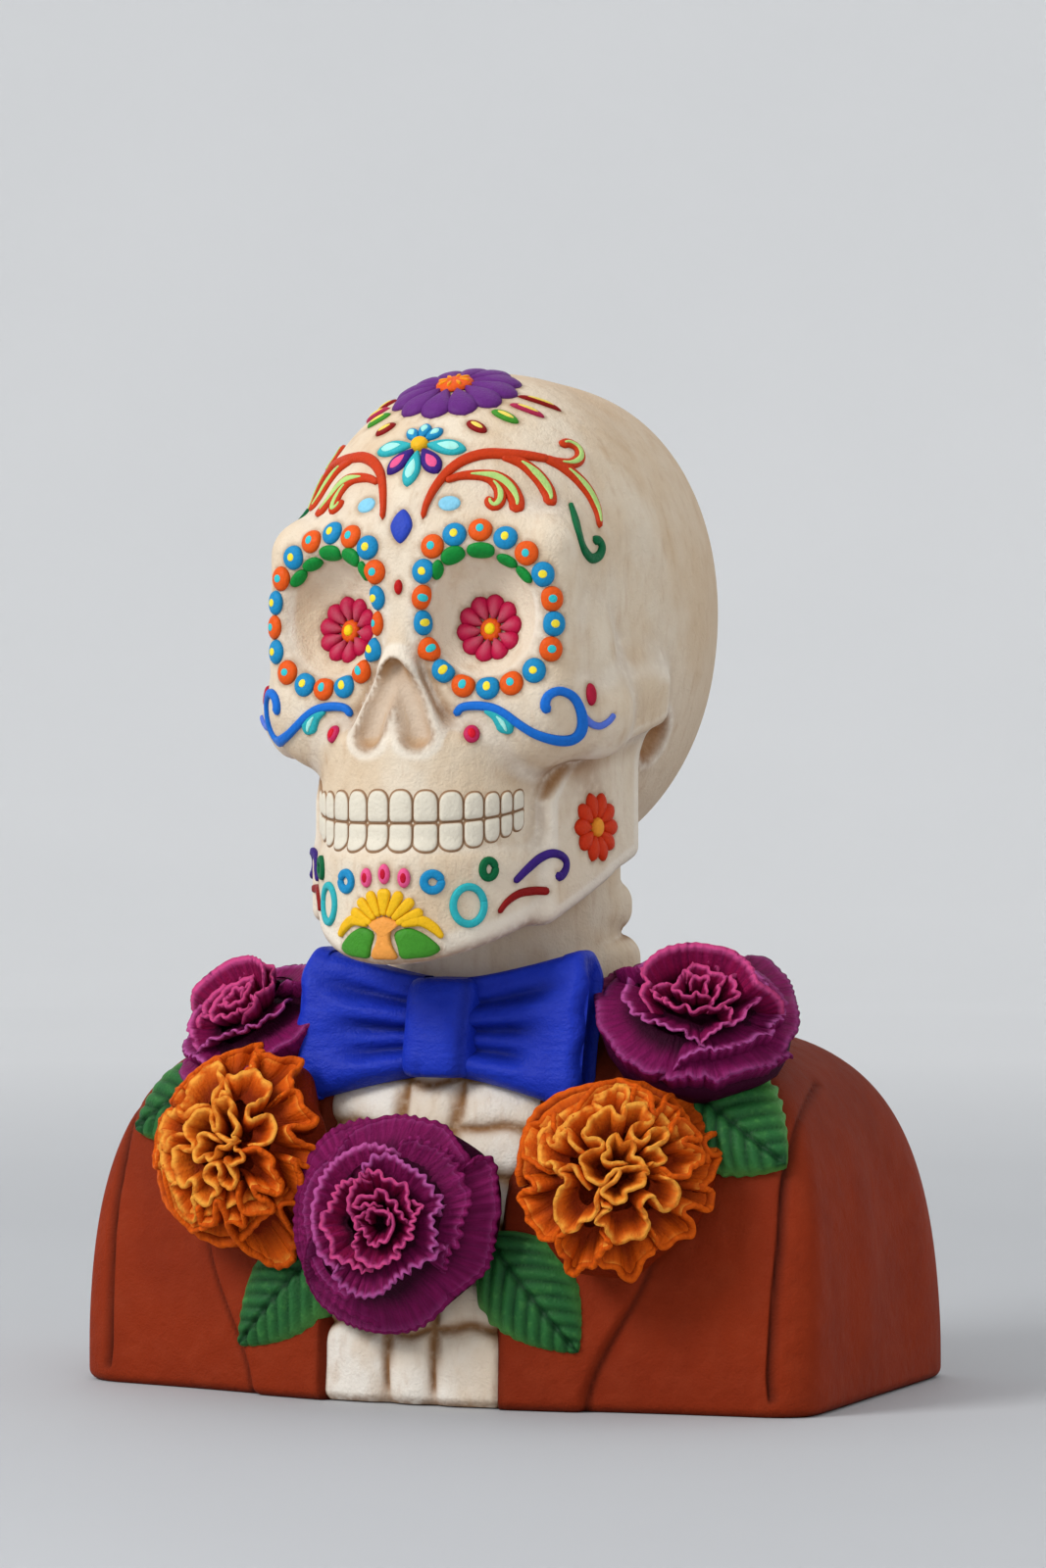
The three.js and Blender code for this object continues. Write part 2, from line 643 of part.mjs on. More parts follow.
function garland() {
  const shoulderRose = (x, share, axis) => {
    const made = rose(SHOULDER_ROSE_HEIGHT, SHOULDER_ROSE_LIFT + FLOWER_SINK / 2);
    return onChest(made, x, SHOULDER_HEIGHT * share, axis, SHOULDER_ROSE_LIFT);
  };
  const sides = [-1, 1].flatMap((s) => [
    onChest(new THREE.SphereGeometry(FILL_RADIUS, 8, 6), s * 68, 90, [s * 0.3, -0.8, 0.5], 0),
    leafOnChest(LOW_LEAF_LENGTH, [s * 24, 52], [s * 55, 17.5]),
    leafOnChest(SIDE_LEAF_LENGTH, [s * 73, 96], [s * 106, 76]),
  ]);
  return [
    ...sides,
    shoulderRose(79, 0.947, [0.28, -0.575, 0.77]),
    shoulderRose(-63.5, 0.916, [-0.3, -0.56, 0.78]),
    onChest(rose(ROSE_HEIGHT, FLOWER_SINK), -2, 56, [0, -1, 0.02], 5),
    onChest(marigold(), 62, 67, [0.35, -0.88, 0.32], 8),
    onChest(marigold(), -60, 70, [-0.2, -0.92, 0.3], 8),
  ];
}

const skullFlowers = [
  paintedFlower(23.3, 235.3, EYE_FLOWER_RADIUS, 10),
  paintedFlower(-23.3, 235.3, EYE_FLOWER_RADIUS, 10),
  paintedFlower(0, 292.5, BROW_FLOWER_RADIUS, 8),
  paintedFlower(0, 311.5, CROWN_FLOWER_RADIUS, 12),
];

const bust = wasm.Manifold.union([
  jacket(),
  neck(),
  skull(),
  ...teeth(),
  ...skullFlowers,
  ...bow(),
  ...garland(),
]);

const paint = new THREE.MeshStandardMaterial({ color: 0xcfc0aa, roughness: 0.6, metalness: 0 });
const casting = new THREE.Mesh(geometryOf(bust), paint);
casting.name = "skeleton_bust";

const part = new THREE.Group();
part.add(casting);
export default part;
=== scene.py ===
"""A painted, cast bust of a Day of the Dead skeleton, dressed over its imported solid.

Lengths are millimetres on a bust 320 tall, and MM turns them into metres. The figure
faces -Y and its left side is +X. Pixels are those of the 1067 x 1600 photograph.
"""

import math

import bpy
import numpy as np
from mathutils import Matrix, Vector
from mathutils.kdtree import KDTree


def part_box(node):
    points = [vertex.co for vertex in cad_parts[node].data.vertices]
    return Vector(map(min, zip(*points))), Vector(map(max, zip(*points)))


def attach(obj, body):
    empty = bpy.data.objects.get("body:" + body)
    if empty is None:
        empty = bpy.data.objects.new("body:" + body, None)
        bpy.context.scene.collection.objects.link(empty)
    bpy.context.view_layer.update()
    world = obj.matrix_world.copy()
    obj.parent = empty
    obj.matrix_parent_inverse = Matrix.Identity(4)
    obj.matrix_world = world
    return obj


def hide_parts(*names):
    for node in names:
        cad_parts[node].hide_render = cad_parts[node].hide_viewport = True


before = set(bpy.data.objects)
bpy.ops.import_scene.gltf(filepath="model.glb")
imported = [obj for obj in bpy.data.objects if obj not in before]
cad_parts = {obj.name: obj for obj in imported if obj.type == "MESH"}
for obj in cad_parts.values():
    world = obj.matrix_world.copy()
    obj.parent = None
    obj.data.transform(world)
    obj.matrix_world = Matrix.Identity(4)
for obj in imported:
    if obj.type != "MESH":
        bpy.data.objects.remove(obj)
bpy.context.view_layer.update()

NODE = "skeleton_bust"
HEIGHT = 320
low_corner, high_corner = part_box(NODE)
MM = (high_corner[2] - low_corner[2]) / HEIGHT

# The camera, fitted to the photograph by the figure's own left and right symmetry.
PHOTO = (1067, 1600)
CAMERA_AT = np.array((660.96, -1475.20, 192.76))
CAMERA_YAW = math.radians(24.004)
CAMERA_PITCH = math.radians(0.148)
FOCAL_PIXELS = 5200
CAMERA_BACK = np.array(
    (
        math.sin(CAMERA_YAW) * math.cos(CAMERA_PITCH),
        -math.cos(CAMERA_YAW) * math.cos(CAMERA_PITCH),
        math.sin(CAMERA_PITCH),
    )
)
CAMERA_RIGHT = np.array((math.cos(CAMERA_YAW), math.sin(CAMERA_YAW), 0))
CAMERA_UP = np.cross(CAMERA_BACK, CAMERA_RIGHT)

TINY = 1e-9  # keeps a division clear of nothing
UPWARD = (0, 0, 1)


# Vectors and grids.


def unit(vectors):
    """The same ways, each with a length of 1."""
    vectors = np.asarray(vectors, float)
    return vectors / np.maximum(np.linalg.norm(vectors, axis=-1, keepdims=True), TINY)


def steps(line):
    """How far each point of a line is from the one before."""
    return np.linalg.norm(np.diff(line, axis=0), axis=1)


def across_and_up(out):
    """The level way and the steep way across a surface that faces out."""
    right = unit(np.cross(UPWARD, out))
    return right, np.cross(out, right)


def distances(points, places):
    """How far each point is from the nearest of some places."""
    tree = KDTree(len(places))
    for i, place in enumerate(places):
        tree.insert(place, i)
    tree.balance()
    return np.array([tree.find(point)[2] for point in points])


def smooth(low, high, value):
    """0 below low, 1 above high, and an even rise between."""
    t = np.clip((value - low) / (high - low), 0, 1)
    return t * t * (3 - 2 * t)


def ridge(distance, width):
    """1 at no distance, falling away to nothing over a few widths."""
    return np.exp(-((distance / width) ** 2))


def squared(u, v, power):
    """How much further out than a circle's point (u, v) a squared ring lies."""
    return (np.abs(u) ** power + np.abs(v) ** power) ** (-1 / power)


def eased(low, count):
    """Shares from a low one to 1, closer and closer together."""
    return np.sin(np.linspace(low, 1, count) * np.pi / 2)


def grid_faces(rows, columns, closed=False):
    """Quads of a grid of points, row by row. Closed joins the last column to the first."""
    here = np.arange(rows * columns).reshape(rows, columns)
    if closed:
        here = np.hstack([here, here[:, :1]])
    corners = [here[:-1, :-1], here[:-1, 1:], here[1:, 1:], here[1:, :-1]]
    return np.stack(corners, -1).reshape(-1, 4)


CURVE_STEPS = 16  # from one given point to the next


def curve(points, count, closed=False):
    """Points spread evenly along a smooth curve through the given ones."""
    points = np.asarray(points, float)
    around = [points[-1:], points, points[:2]] if closed else [points[:1], points, points[-1:]]
    p = np.vstack(around)
    t = np.linspace(0, 1, CURVE_STEPS, endpoint=False)[:, None]
    parts = []
    for a, b, c, d in zip(p, p[1:], p[2:], p[3:]):
        parts.append(
            0.5 * (2 * b + (c - a) * t + (2 * a - 5 * b + 4 * c - d) * t**2)
            + 0.5 * (3 * b - a - 3 * c + d) * t**3
        )
    fine = np.vstack(parts + [points[:1] if closed else points[-1:]])
    run = np.append(0, np.cumsum(steps(fine)))
    at = np.linspace(0, run[-1], count, endpoint=not closed)
    return np.stack([np.interp(at, run, fine[:, i]) for i in range(fine.shape[1])], -1)


def rays(pixels):
    """The ways that the camera looks through pixels of the photograph."""
    pixels = np.atleast_2d(np.asarray(pixels, float))
    x = (pixels[:, 0] - PHOTO[0] / 2) / FOCAL_PIXELS
    y = (PHOTO[1] / 2 - pixels[:, 1]) / FOCAL_PIXELS
    return unit(x[:, None] * CAMERA_RIGHT + y[:, None] * CAMERA_UP - CAMERA_BACK)


MIRROR = np.array((-1.0, 1.0, 1.0))


class Piece:
    """One piece of the model, gathered from parts that each have a paint and fields."""

    def __init__(self, name):
        """A piece without parts so far."""
        self.name = name
        self.parts = []

    def add(self, points, faces, paint, **fields):
        """A part, whose fields have a value for each point or one for all."""
        fields = {name: np.ravel(values) for name, values in fields.items()}
        self.parts.append((np.reshape(points, (-1, 3)), faces, paint, fields))

    def pair(self, points, faces, paint, **fields):
        """The same on the figure's left and, mirrored, on its right."""
        self.add(points, faces, paint, **fields)
        self.add(points * MIRROR, faces[:, ::-1], paint, **fields)

    def build(self):
        """Makes the mesh with its paints and fields, on the root body."""
        points, faces, paints, fields = zip(*self.parts)
        starts = np.cumsum([0] + [len(p) for p in points])
        quads = np.vstack([f + start for f, start in zip(faces, starts)])
        data = bpy.data.meshes.new(self.name)
        data.from_pydata((np.vstack(points) * MM).tolist(), [], quads.tolist())
        slots = list(dict.fromkeys(paints))
        for paint in slots:
            data.materials.append(paint)
        given = np.repeat([slots.index(paint) for paint in paints], [len(f) for f in faces])
        data.polygons.foreach_set("material_index", given.astype(np.int32))
        data.polygons.foreach_set("use_smooth", np.ones(len(quads), bool))
        for name in sorted(set().union(*fields)):
            held = [np.broadcast_to(f.get(name, 0.0), len(p)) for p, f in zip(points, fields)]
            layer = data.attributes.new(name, "FLOAT", "POINT")
            layer.data.foreach_set("value", np.concatenate(held).astype(np.float32))
        data.update()
        made = bpy.data.objects.new(self.name, data)
        bpy.context.scene.collection.objects.link(made)
        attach(made, "root")
        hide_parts(NODE)


# Distances to the forms that the skull and neck are sculpted from, negative inside.


def ellipsoid(p, middle, radii):
    """An ellipsoid, or an ellipse where points have two numbers."""
    away = (p - middle) / np.array(radii, float)
    one = np.linalg.norm(away, axis=-1) + TINY
    two = np.linalg.norm(away / np.array(radii, float), axis=-1) + TINY
    return one * (one - 1) / two


def cone(p, a, b, radius_a, radius_b):
    """A rod from a to b with round ends."""
    a, b = np.array(a, float), np.array(b, float)
    t = np.clip(((p - a) @ (b - a)) / ((b - a) @ (b - a)), 0, 1)
    away = p - a - t[..., None] * (b - a)
    return np.linalg.norm(away, axis=-1) - (radius_a + (radius_b - radius_a) * t)


def rounded(faces, edge):
    """A solid from its signed distances to its faces, with its edges rounded."""
    q = np.stack(faces, -1) + edge
    return np.minimum(q.max(-1), 0) + np.linalg.norm(np.maximum(q, 0), axis=-1) - edge


def column(p, middle, radii, low, high, edge):
    """An upright column on an ellipse, with rounded ends."""
    ends = np.abs(p[..., 2] - (low + high) / 2) - (high - low) / 2
    return rounded([ellipsoid(p[..., :2], middle, radii), ends], edge)


def plate(p, a, b):
    """Distances along and across an upright plate between two places on the floor."""
    a, b = np.array(a, float), np.array(b, float)
    along = unit(b - a)
    away = p[..., :2] - (a + b) / 2
    return away @ along, away @ np.array((along[1], -along[0]))


def join(a, b, blend):
    """Both forms, with the corner between them filled over a blend."""
    h = np.clip(0.5 + 0.5 * (b - a) / blend, 0, 1)
    return b + (a - b) * h - blend * h * (1 - h)


def carve(a, b, blend):
    """The first form without the second, with the new edge rounded over a blend."""
    return -join(-a, b, blend)


CHIN = 134
CHIN_Y = -90
JAW_SLOPE = 0.426
JAW_LEAN = 0.92  # turns a height over the jaw's edge into a distance from it


def jaw_edge(y):
    """The height of the lower jaw's edge, which rises towards the back."""
    return CHIN + JAW_SLOPE * (y - CHIN_Y)


CHEEK_BODY = ((37, -61.5, 209), (49, -50, 210.5), 14.5, 12.5)
CHEEK_ARCH = ((48.5, -52), (53.5, -12))  # its line over the floor
ARCH_HEIGHT, ARCH_RISE = 209.5, 6.3  # in front, and from there to the back
ARCH_LONG, ARCH_THICK, ARCH_TALL = 20.5, 6.5, 11.5  # half its measures
ARCH_TAPER = 3.7
CHEEK_FILL = ((45, -26, 221), (12.5, 21, 15))  # between the arch and the skull


def cheekbone(p):
    """The cheekbone and the arch behind it, cut off square at the ear."""
    u, v = plate(p, *CHEEK_ARCH)
    back = np.clip((u + 18) / 38, 0, 1)
    tall = np.abs(p[..., 2] - ARCH_HEIGHT - ARCH_RISE * back) - ARCH_TALL + ARCH_TAPER * back
    arch = rounded([np.abs(u) - ARCH_LONG, np.abs(v) - ARCH_THICK, tall], 3.5)
    return join(join(cone(p, *CHEEK_BODY), arch, 7), ellipsoid(p, *CHEEK_FILL), 8)


BRANCH = ((42, -44), (49, -14))  # its line over the floor
BRANCH_TOP = 214
BRANCH_LONG, BRANCH_THICK = 16, 4.8  # half its measures
BRANCH_OUT = 3.2  # from its line
BRANCH_FLARE = 0.75  # forwards, for each millimetre that it lies below its fork
BRANCH_FORK = 205


def jaw_branch(p):
    """The branch of the lower jaw, a plate that runs forwards into the chin."""
    u, v = plate(p, *BRANCH)
    z = p[..., 2]
    ends = np.maximum(z - BRANCH_TOP, (jaw_edge(p[..., 1]) - z) * JAW_LEAN)
    ahead = np.clip((BRANCH_FORK - z) * BRANCH_FLARE, 0, 16)
    front = np.abs(u + ahead / 2) - BRANCH_LONG - ahead / 2
    return rounded([front, np.abs(v + BRANCH_OUT) - BRANCH_THICK, ends], 3)


JAW_ARCH = ((0, -30), (43, 63.5), 120, 170, 5)
JAW_ARCH_BACK = -32


def lower_jaw(p):
    """The arch of the chin, cut off along the jaw's edge, and its two branches."""
    arch = column(p, *JAW_ARCH)
    over_edge = (p[..., 2] - jaw_edge(p[..., 1])) * JAW_LEAN
    arch = np.maximum(carve(arch, over_edge, 6), p[..., 1] - JAW_ARCH_BACK)
    return join(arch, jaw_branch(p), 7)


ORBIT_MIDDLE = (25, -59.5, 238)
ORBIT_HALVES = (25, 18.5, 32)
ORBIT_ROUNDING = 11
ORBIT_TURN = math.radians(9)


def orbit(p):
    """The thick bone round an eye: a rounded block turned a little outwards."""
    x, y, z = np.moveaxis(p - ORBIT_MIDDLE, -1, 0)
    c, s = math.cos(ORBIT_TURN), math.sin(ORBIT_TURN)
    sides = (x * c + y * s, y * c - x * s, z)
    return rounded([np.abs(v) - half for v, half in zip(sides, ORBIT_HALVES)], ORBIT_ROUNDING)


def sculpted(p, forms):
    """Forms put together in turn, each by its way and blend, which the first has no use for."""
    (_, _, form, *sizes), *others = forms
    d = form(p, *sizes)
    for way, blend, form, *sizes in others:
        d = way(d, form(p, *sizes), blend)
    return d


# The proud rim of the nose.
NOSE_FORMS = (
    (join, 0, cone, (0, -83, 222), (7.8, -82.5, 204), 6.2, 7.4),  # its side
    (join, 2, cone, (0, -82, 218), (0, -80, 200), 4, 8),  # the bone under it
    (join, 3, cone, (0, -74, 244), (0, -82, 224), 5.5, 6),  # its bridge
)
# One side of the nose's opening, a drop that leaves a wedge of bone in the middle.
NOSTRIL_FORMS = (
    (join, 0, cone, (0, -86, 223.5), (4.6, -88.5, 215), 2.8, 4.5),
    (join, 1, cone, (4.6, -88.5, 215), (8.3, -89, 204), 4.5, 4.5),
)
SKULL_FORMS = (
    (join, 0, ellipsoid, (0, 6, 239), (58.5, 85, 78.5)),  # the brain's case
    (join, 14, ellipsoid, (0, -25, 255), (54, 54.5, 59)),  # the forehead
    (join, 6, ellipsoid, (14, 16, 252), (41, 59, 59.5)),  # the widest part over the ear
    (join, 10, orbit),
    (join, 6, ellipsoid, (42, -53, 227), (14.5, 15, 21)),  # the outer rim of the eye
    (join, 8, cone, (0, -68, 272), (0, -74, 236), 9, 7),  # between the brows
    (join, 7, cheekbone),
    (join, 8, ellipsoid, (20, -60, 208), (24, 18, 18)),  # beside the nose
    (join, 6, column, (0, -54), (36, 36), 158, 206, 6),  # the arch that bears the teeth
    (join, 5, ellipsoid, (29, -42, 188), (10.5, 16, 25)),  # behind the teeth
    (join, 2.5, sculpted, NOSE_FORMS),
    (carve, 3, ellipsoid, (26.5, -84, 239.5), (18.5, 17.5, 20)),  # the eye's socket
    (carve, 2.8, sculpted, NOSTRIL_FORMS),
    (carve, 8, ellipsoid, (69, -34, 248), (13, 20, 26)),  # the temple
    (carve, 3, ellipsoid, (52, -5, 203), (7, 6.5, 7.5)),  # under the end of the cheek's arch
    (join, 4, lower_jaw),
)
MIDDLE_ROUNDING = 0.04  # square millimetres, rounds the seam of the two mirrored halves


def skull(p):
    """The skull, whose right half is its left half mirrored."""
    p = np.array(p, float)
    p[..., 0] = np.sqrt(p[..., 0] ** 2 + MIDDLE_ROUNDING)
    return sculpted(p, SKULL_FORMS)


NECK_RADIUS = 37.5
NECK_SPREAD = 2.3
NECK_CORE = ((0, -4), (36, 37), 92, 170, 4)
VERTEBRA_PITCH = 17.5
VERTEBRA_HALF = 8.5
VERTEBRA_ROUNDING = 7.5
TOP_VERTEBRA = 150


def neck(p):
    """Three vertebrae, each wider and further back than the one over it."""
    d = column(p, *NECK_CORE)
    for i in range(3):
        radius = NECK_RADIUS + NECK_SPREAD * i
        middle = TOP_VERTEBRA - VERTEBRA_PITCH * i
        low, high = middle - VERTEBRA_HALF, middle + VERTEBRA_HALF
        vertebra = column(p, (0, 2 + i), (radius, radius), low, high, VERTEBRA_ROUNDING)
        d = join(d, vertebra, 1.5)
    return d


def head(p):
    """The skull on its neck."""
    return join(skull(p), neck(p), 3)


def slope(shape, p, step=0.3):
    """The way that the distance to a shape grows fastest."""
    moves = np.eye(3) * step
    return np.stack([shape(p + m) - shape(p - m) for m in moves], -1) / (2 * step)


FARTHEST_PULL = 3


def settle(shape, p, rounds=2):
    """Moves points on to the surface of a shape."""
    for _ in range(rounds):
        way = slope(shape, p)
        pull = np.clip(shape(p), -FARTHEST_PULL, FARTHEST_PULL) / np.maximum((way**2).sum(-1), 0.2)
        p = p - pull[..., None] * way
    return p


def skin(shape, low, high, step, block=5):
    """The surface of a shape inside a box, as points and quads about a step across."""
    axes = [np.arange(a, b + step, step) for a, b in zip(low, high)]
    blocks = [a[0] + step * block * (np.arange(-(-len(a) // block)) + 0.4) for a in axes]
    field = shape(np.stack(np.meshgrid(*blocks, indexing="ij"), -1))
    for axis in range(3):
        field = field.repeat(block, axis)
    field = field[tuple(slice(len(a)) for a in axes)]
    near = np.argwhere(np.abs(field) < 1.6 * step * block)
    places = np.stack([a[near[:, i]] for i, a in enumerate(axes)], -1)
    field[tuple(near.T)] = shape(places)

    inside = field < 0
    size = [len(a) - 1 for a in axes]
    corners = [(i, j, k) for i in (0, 1) for j in (0, 1) for k in (0, 1)]
    held = sum(
        inside[i : i + size[0], j : j + size[1], k : k + size[2]].astype(int)
        for i, j, k in corners
    )
    cells = np.argwhere((held > 0) & (held < 8))
    number = np.full(held.shape, -1)
    number[tuple(cells.T)] = np.arange(len(cells))

    # Each cell's point is the middle of the places where its edges cross the surface.
    total, crossings = np.zeros((len(cells), 3)), np.zeros((len(cells), 1))
    for axis in range(3):
        across = [i for i in range(3) if i != axis]
        for i, j in ((0, 0), (0, 1), (1, 0), (1, 1)):
            start = cells.copy()
            start[:, across[0]] += i
            start[:, across[1]] += j
            end = start.copy()
            end[:, axis] += 1
            a, b = field[tuple(start.T)], field[tuple(end.T)]
            cut = ((a < 0) != (b < 0))[:, None]
            t = (a / np.where(a == b, 1, a - b))[:, None]
            here = np.stack([v[start[:, n]] for n, v in enumerate(axes)], -1)
            there = np.stack([v[end[:, n]] for n, v in enumerate(axes)], -1)
            total += np.where(cut, here + t * (there - here), 0)
            crossings += cut

    quads = []
    for axis in range(3):
        b, c = (axis + 1) % 3, (axis + 2) % 3
        first, last = [slice(None)] * 3, [slice(None)] * 3
        first[axis], last[axis] = slice(0, -1), slice(1, None)
        leaves = inside[tuple(first)] & ~inside[tuple(last)]
        enters = ~inside[tuple(first)] & inside[tuple(last)]
        for edges, order in ((leaves, 1), (enters, -1)):
            at = np.argwhere(edges)
            at = at[(at[:, b] > 0) & (at[:, c] > 0) & (at[:, b] < size[b]) & (at[:, c] < size[c])]
            ring = []
            for i, j in ((-1, -1), (0, -1), (0, 0), (-1, 0)):
                cell = at.copy()
                cell[:, b] += i
                cell[:, c] += j
                ring.append(number[tuple(cell.T)])
            quads.append(np.stack(ring[::order], -1))
    return settle(shape, total / crossings), np.concatenate(quads)


def hollowness(shape, p, reach):
    """How much a surface is hollow rather than round, over a reach. Below 0 the reach goes
    inwards, which tells how sharply the surface turns round an edge."""
    way = unit(slope(shape, p))
    return np.clip(1 - shape(p + way * reach) / reach, 0, 1)


# Paints. Each is a matt paint with brush streaks, painted highlights on edges, painted shade in
# hollows and a brown wash.


def linear(colour):
    """A colour written as six hexadecimal digits, as light."""
    parts = [int(colour[i : i + 2], 16) / 255 for i in (0, 2, 4)]
    return tuple(c / 12.92 if c < 0.04045 else ((c + 0.055) / 1.055) ** 2.4 for c in parts)


WASH = "6b4426"


class Paint:
    """A material whose colour and bump are built up in layers over a plain coat."""

    def __init__(self, name, colour, roughness, gloss=0.12):
        """A plain coat of one colour."""
        self.material = bpy.data.materials.new(name)
        self.material.use_nodes = True
        self.tree = self.material.node_tree
        self.shader = self.tree.nodes["Principled BSDF"]
        self.shader.inputs["Roughness"].default_value = roughness
        self.shader.inputs["Specular IOR Level"].default_value = gloss
        self.place = self.tree.nodes.new("ShaderNodeTexCoord").outputs["Object"]
        self.colour = linear(colour)
        self.normal = None

    def feed(self, socket, value):
        """Gives a socket another node's output, or a constant of its own."""
        if isinstance(value, bpy.types.NodeSocket):
            self.tree.links.new(value, socket)
        elif isinstance(value, tuple):
            socket.default_value = (*value, 1)
        else:
            socket.default_value = value

    def field(self, name):
        """A field of the piece's points."""
        made = self.tree.nodes.new("ShaderNodeAttribute")
        made.attribute_name = name
        return made.outputs["Fac"]

    def noise(self, size, low=0.35, high=0.65, stretch=(1, 1, 1), detail=4, place=None):
        """Noise from 0 to 1 with grains about `size` millimetres across."""
        grain = self.tree.nodes.new("ShaderNodeMapping")
        grain.inputs["Scale"].default_value = [1 / (size * MM * s) for s in stretch]
        self.feed(grain.inputs["Vector"], place or self.place)
        made = self.tree.nodes.new("ShaderNodeTexNoise")
        made.inputs["Scale"].default_value = 1
        made.inputs["Detail"].default_value = detail
        self.feed(made.inputs["Vector"], grain.outputs["Vector"])
        return self.span(made.outputs["Fac"], low, high)

    def fields(self, *names):
        """A place made of three fields, for noise that follows a form."""
        made = self.tree.nodes.new("ShaderNodeCombineXYZ")
        for socket, name in zip(made.inputs, names):
            self.feed(socket, self.field(name))
        return made.outputs["Vector"]

    def span(self, value, low, high, to_low=0.0, to_high=1.0):
        """A value between low and high, spread smoothly from to_low to to_high."""
        made = self.tree.nodes.new("ShaderNodeMapRange")
        made.interpolation_type = "SMOOTHSTEP"
        names = ("From Min", "From Max", "To Min", "To Max")
        for name, v in zip(names, (low, high, to_low, to_high)):
            made.inputs[name].default_value = v
        self.feed(made.inputs["Value"], value)
        return made.outputs["Result"]

    def times(self, a, b):
        """The product of two values, at most 1."""
        made = self.tree.nodes.new("ShaderNodeMath")
        made.operation = "MULTIPLY"
        made.use_clamp = True
        self.feed(made.inputs[0], a)
        self.feed(made.inputs[1], b)
        return made.outputs[0]

    def coat(self, factor, colour):
        """Another colour over the coats so far, where factor is 1."""
        if isinstance(colour, str):
            colour = linear(colour)
        made = self.tree.nodes.new("ShaderNodeMix")
        made.data_type = "RGBA"
        self.feed(made.inputs["Factor"], factor)
        self.feed(made.inputs[6], self.colour)
        self.feed(made.inputs[7], colour)
        self.colour = made.outputs[2]

    def veil(self, factor, share, colour):
        """A thin coat, which covers no more than a share."""
        self.coat(self.times(factor, share), colour)

    def bump(self, height, distance):
        """Relief on the paint, as high as distance millimetres."""
        made = self.tree.nodes.new("ShaderNodeBump")
        made.inputs["Distance"].default_value = distance * MM
        self.feed(made.inputs["Height"], height)
        if self.normal is not None:
            self.feed(made.inputs["Normal"], self.normal)
        self.normal = made.outputs["Normal"]

    def finish(self):
        """Puts the coats and the relief on the shader."""
        self.feed(self.shader.inputs["Base Color"], self.colour)
        if self.normal is not None:
            self.feed(self.shader.inputs["Normal"], self.normal)
        return self.material


def bone_paint(name, colour):
    """Cream over resin, streaked with the brush and washed with brown in its creases and round its
    ornament, with painted shade in its broad hollows and towards its back, brown wash and painted
    shade in its pits, and painted highlights along its edges.
    """
    paint = Paint(name, colour, 0.6)
    broad = paint.noise(30, 0.4, 0.65, stretch=(1, 1, 1.6))
    paint.veil(broad, 0.5, "d4b690")
    smears = paint.noise(9, 0.48, 0.8, stretch=(1, 1, 1.5), detail=8)
    paint.veil(smears, 0.4, "c6a47c")
    streaks = paint.noise(3.2, 0.5, 0.8, stretch=(1, 1, 3.2), detail=6)
    paint.veil(streaks, 0.3, "b8906a")
    paint.veil(paint.noise(0.9, 0.62, 0.8), 0.15, "a07c58")
    # Painted shade: tan towards the back of the skull and over the back of its crown.
    paint.veil(paint.field("back"), 0.5, "c4a27c")
    # Painted highlight: lighter cream along the convex edges.
    paint.coat(paint.span(paint.field("worn"), 0.04, 0.25, 0, 0.7), "f2e9da")
    paint.coat(paint.span(paint.field("shade"), 0.1, 0.9, 0, 0.95), "a87c50")
    # Brown wash and painted shade, thick in the pits behind the teeth and under the cheek's arch.
    pit_wash_and_shade_mottled = paint.times(paint.field("pit"), paint.noise(4, 0.2, 0.6, detail=6))
    paint.veil(pit_wash_and_shade_mottled, 0.8, "946238")
    crease = paint.times(paint.field("crease"), paint.noise(3, 0.1, 0.6))
    paint.veil(crease, 1.4, "875c34")
    paint.veil(paint.field("stain"), 0.6, "96704a")
    paint.bump(paint.noise(0.9, 0.3, 0.7, detail=6), 0.1)
    paint.bump(paint.noise(6, 0.3, 0.7), 0.25)
    return paint.finish()


def tooth_paint():
    """Ivory, with brown wash left round each tooth."""
    paint = Paint("teeth", "e0d8c6", 0.5)
    paint.veil(paint.noise(3, 0.45, 0.75), 0.3, "d2c8b4")
    paint.coat(paint.span(paint.field("rim"), 0.1, 0.8, 0, 0.9), "946a44")
    paint.bump(paint.noise(1.2, 0.3, 0.7), 0.1)
    return paint.finish()


ornament_paints = {}


def ornament(colour, light="ffffff"):
    """A gouache-like paint for raised ornament: brown at its rim, with a lighter stroke."""
    if (colour, light) not in ornament_paints:
        paint = Paint("ornament_" + colour, colour, 0.45)
        deep = tuple(c * 0.6 for c in linear(colour))
        between = tuple(0.72 * a + 0.28 * b for a, b in zip(linear(colour), linear(light)))
        paint.veil(paint.noise(1.6, 0.4, 0.8), 0.3, deep)
        paint.coat(paint.span(paint.field("light"), 0.1, 0.5, 0, 0.3), between)
        paint.coat(paint.span(paint.field("light"), 0.65, 0.9, 0, 0.9), light)
        paint.coat(paint.span(paint.field("rim"), 0.3, 0.8, 0, 0.6), deep)
        paint.coat(paint.span(paint.field("rim"), 0.7, 1, 0, 0.8), WASH)
        paint.bump(paint.noise(0.8, 0.3, 0.7), 0.08)
        ornament_paints[colour, light] = paint.finish()
    return ornament_paints[colour, light]


# Raised ornament on the skull. It is traced on the figure's left and mirrored.


NEAREST_SKULL = 1400  # from the camera
MARCH_STEPS = 90
MARCH_SHARE = 0.8  # of the distance to the skull that one step takes


def marched(at, way):
    """Where points that move one way reach the skull."""
    for _ in range(MARCH_STEPS):
        at = at + way * skull(at)[..., None] * MARCH_SHARE
    return at


def seen(pixels):
    """Where the camera sees the skull at pixels of the photograph."""
    aim = rays(pixels)
    return marched(CAMERA_AT + aim * NEAREST_SKULL, aim)


def seen_at(pixel):
    """The same for one pixel."""
    return seen(pixel)[0]


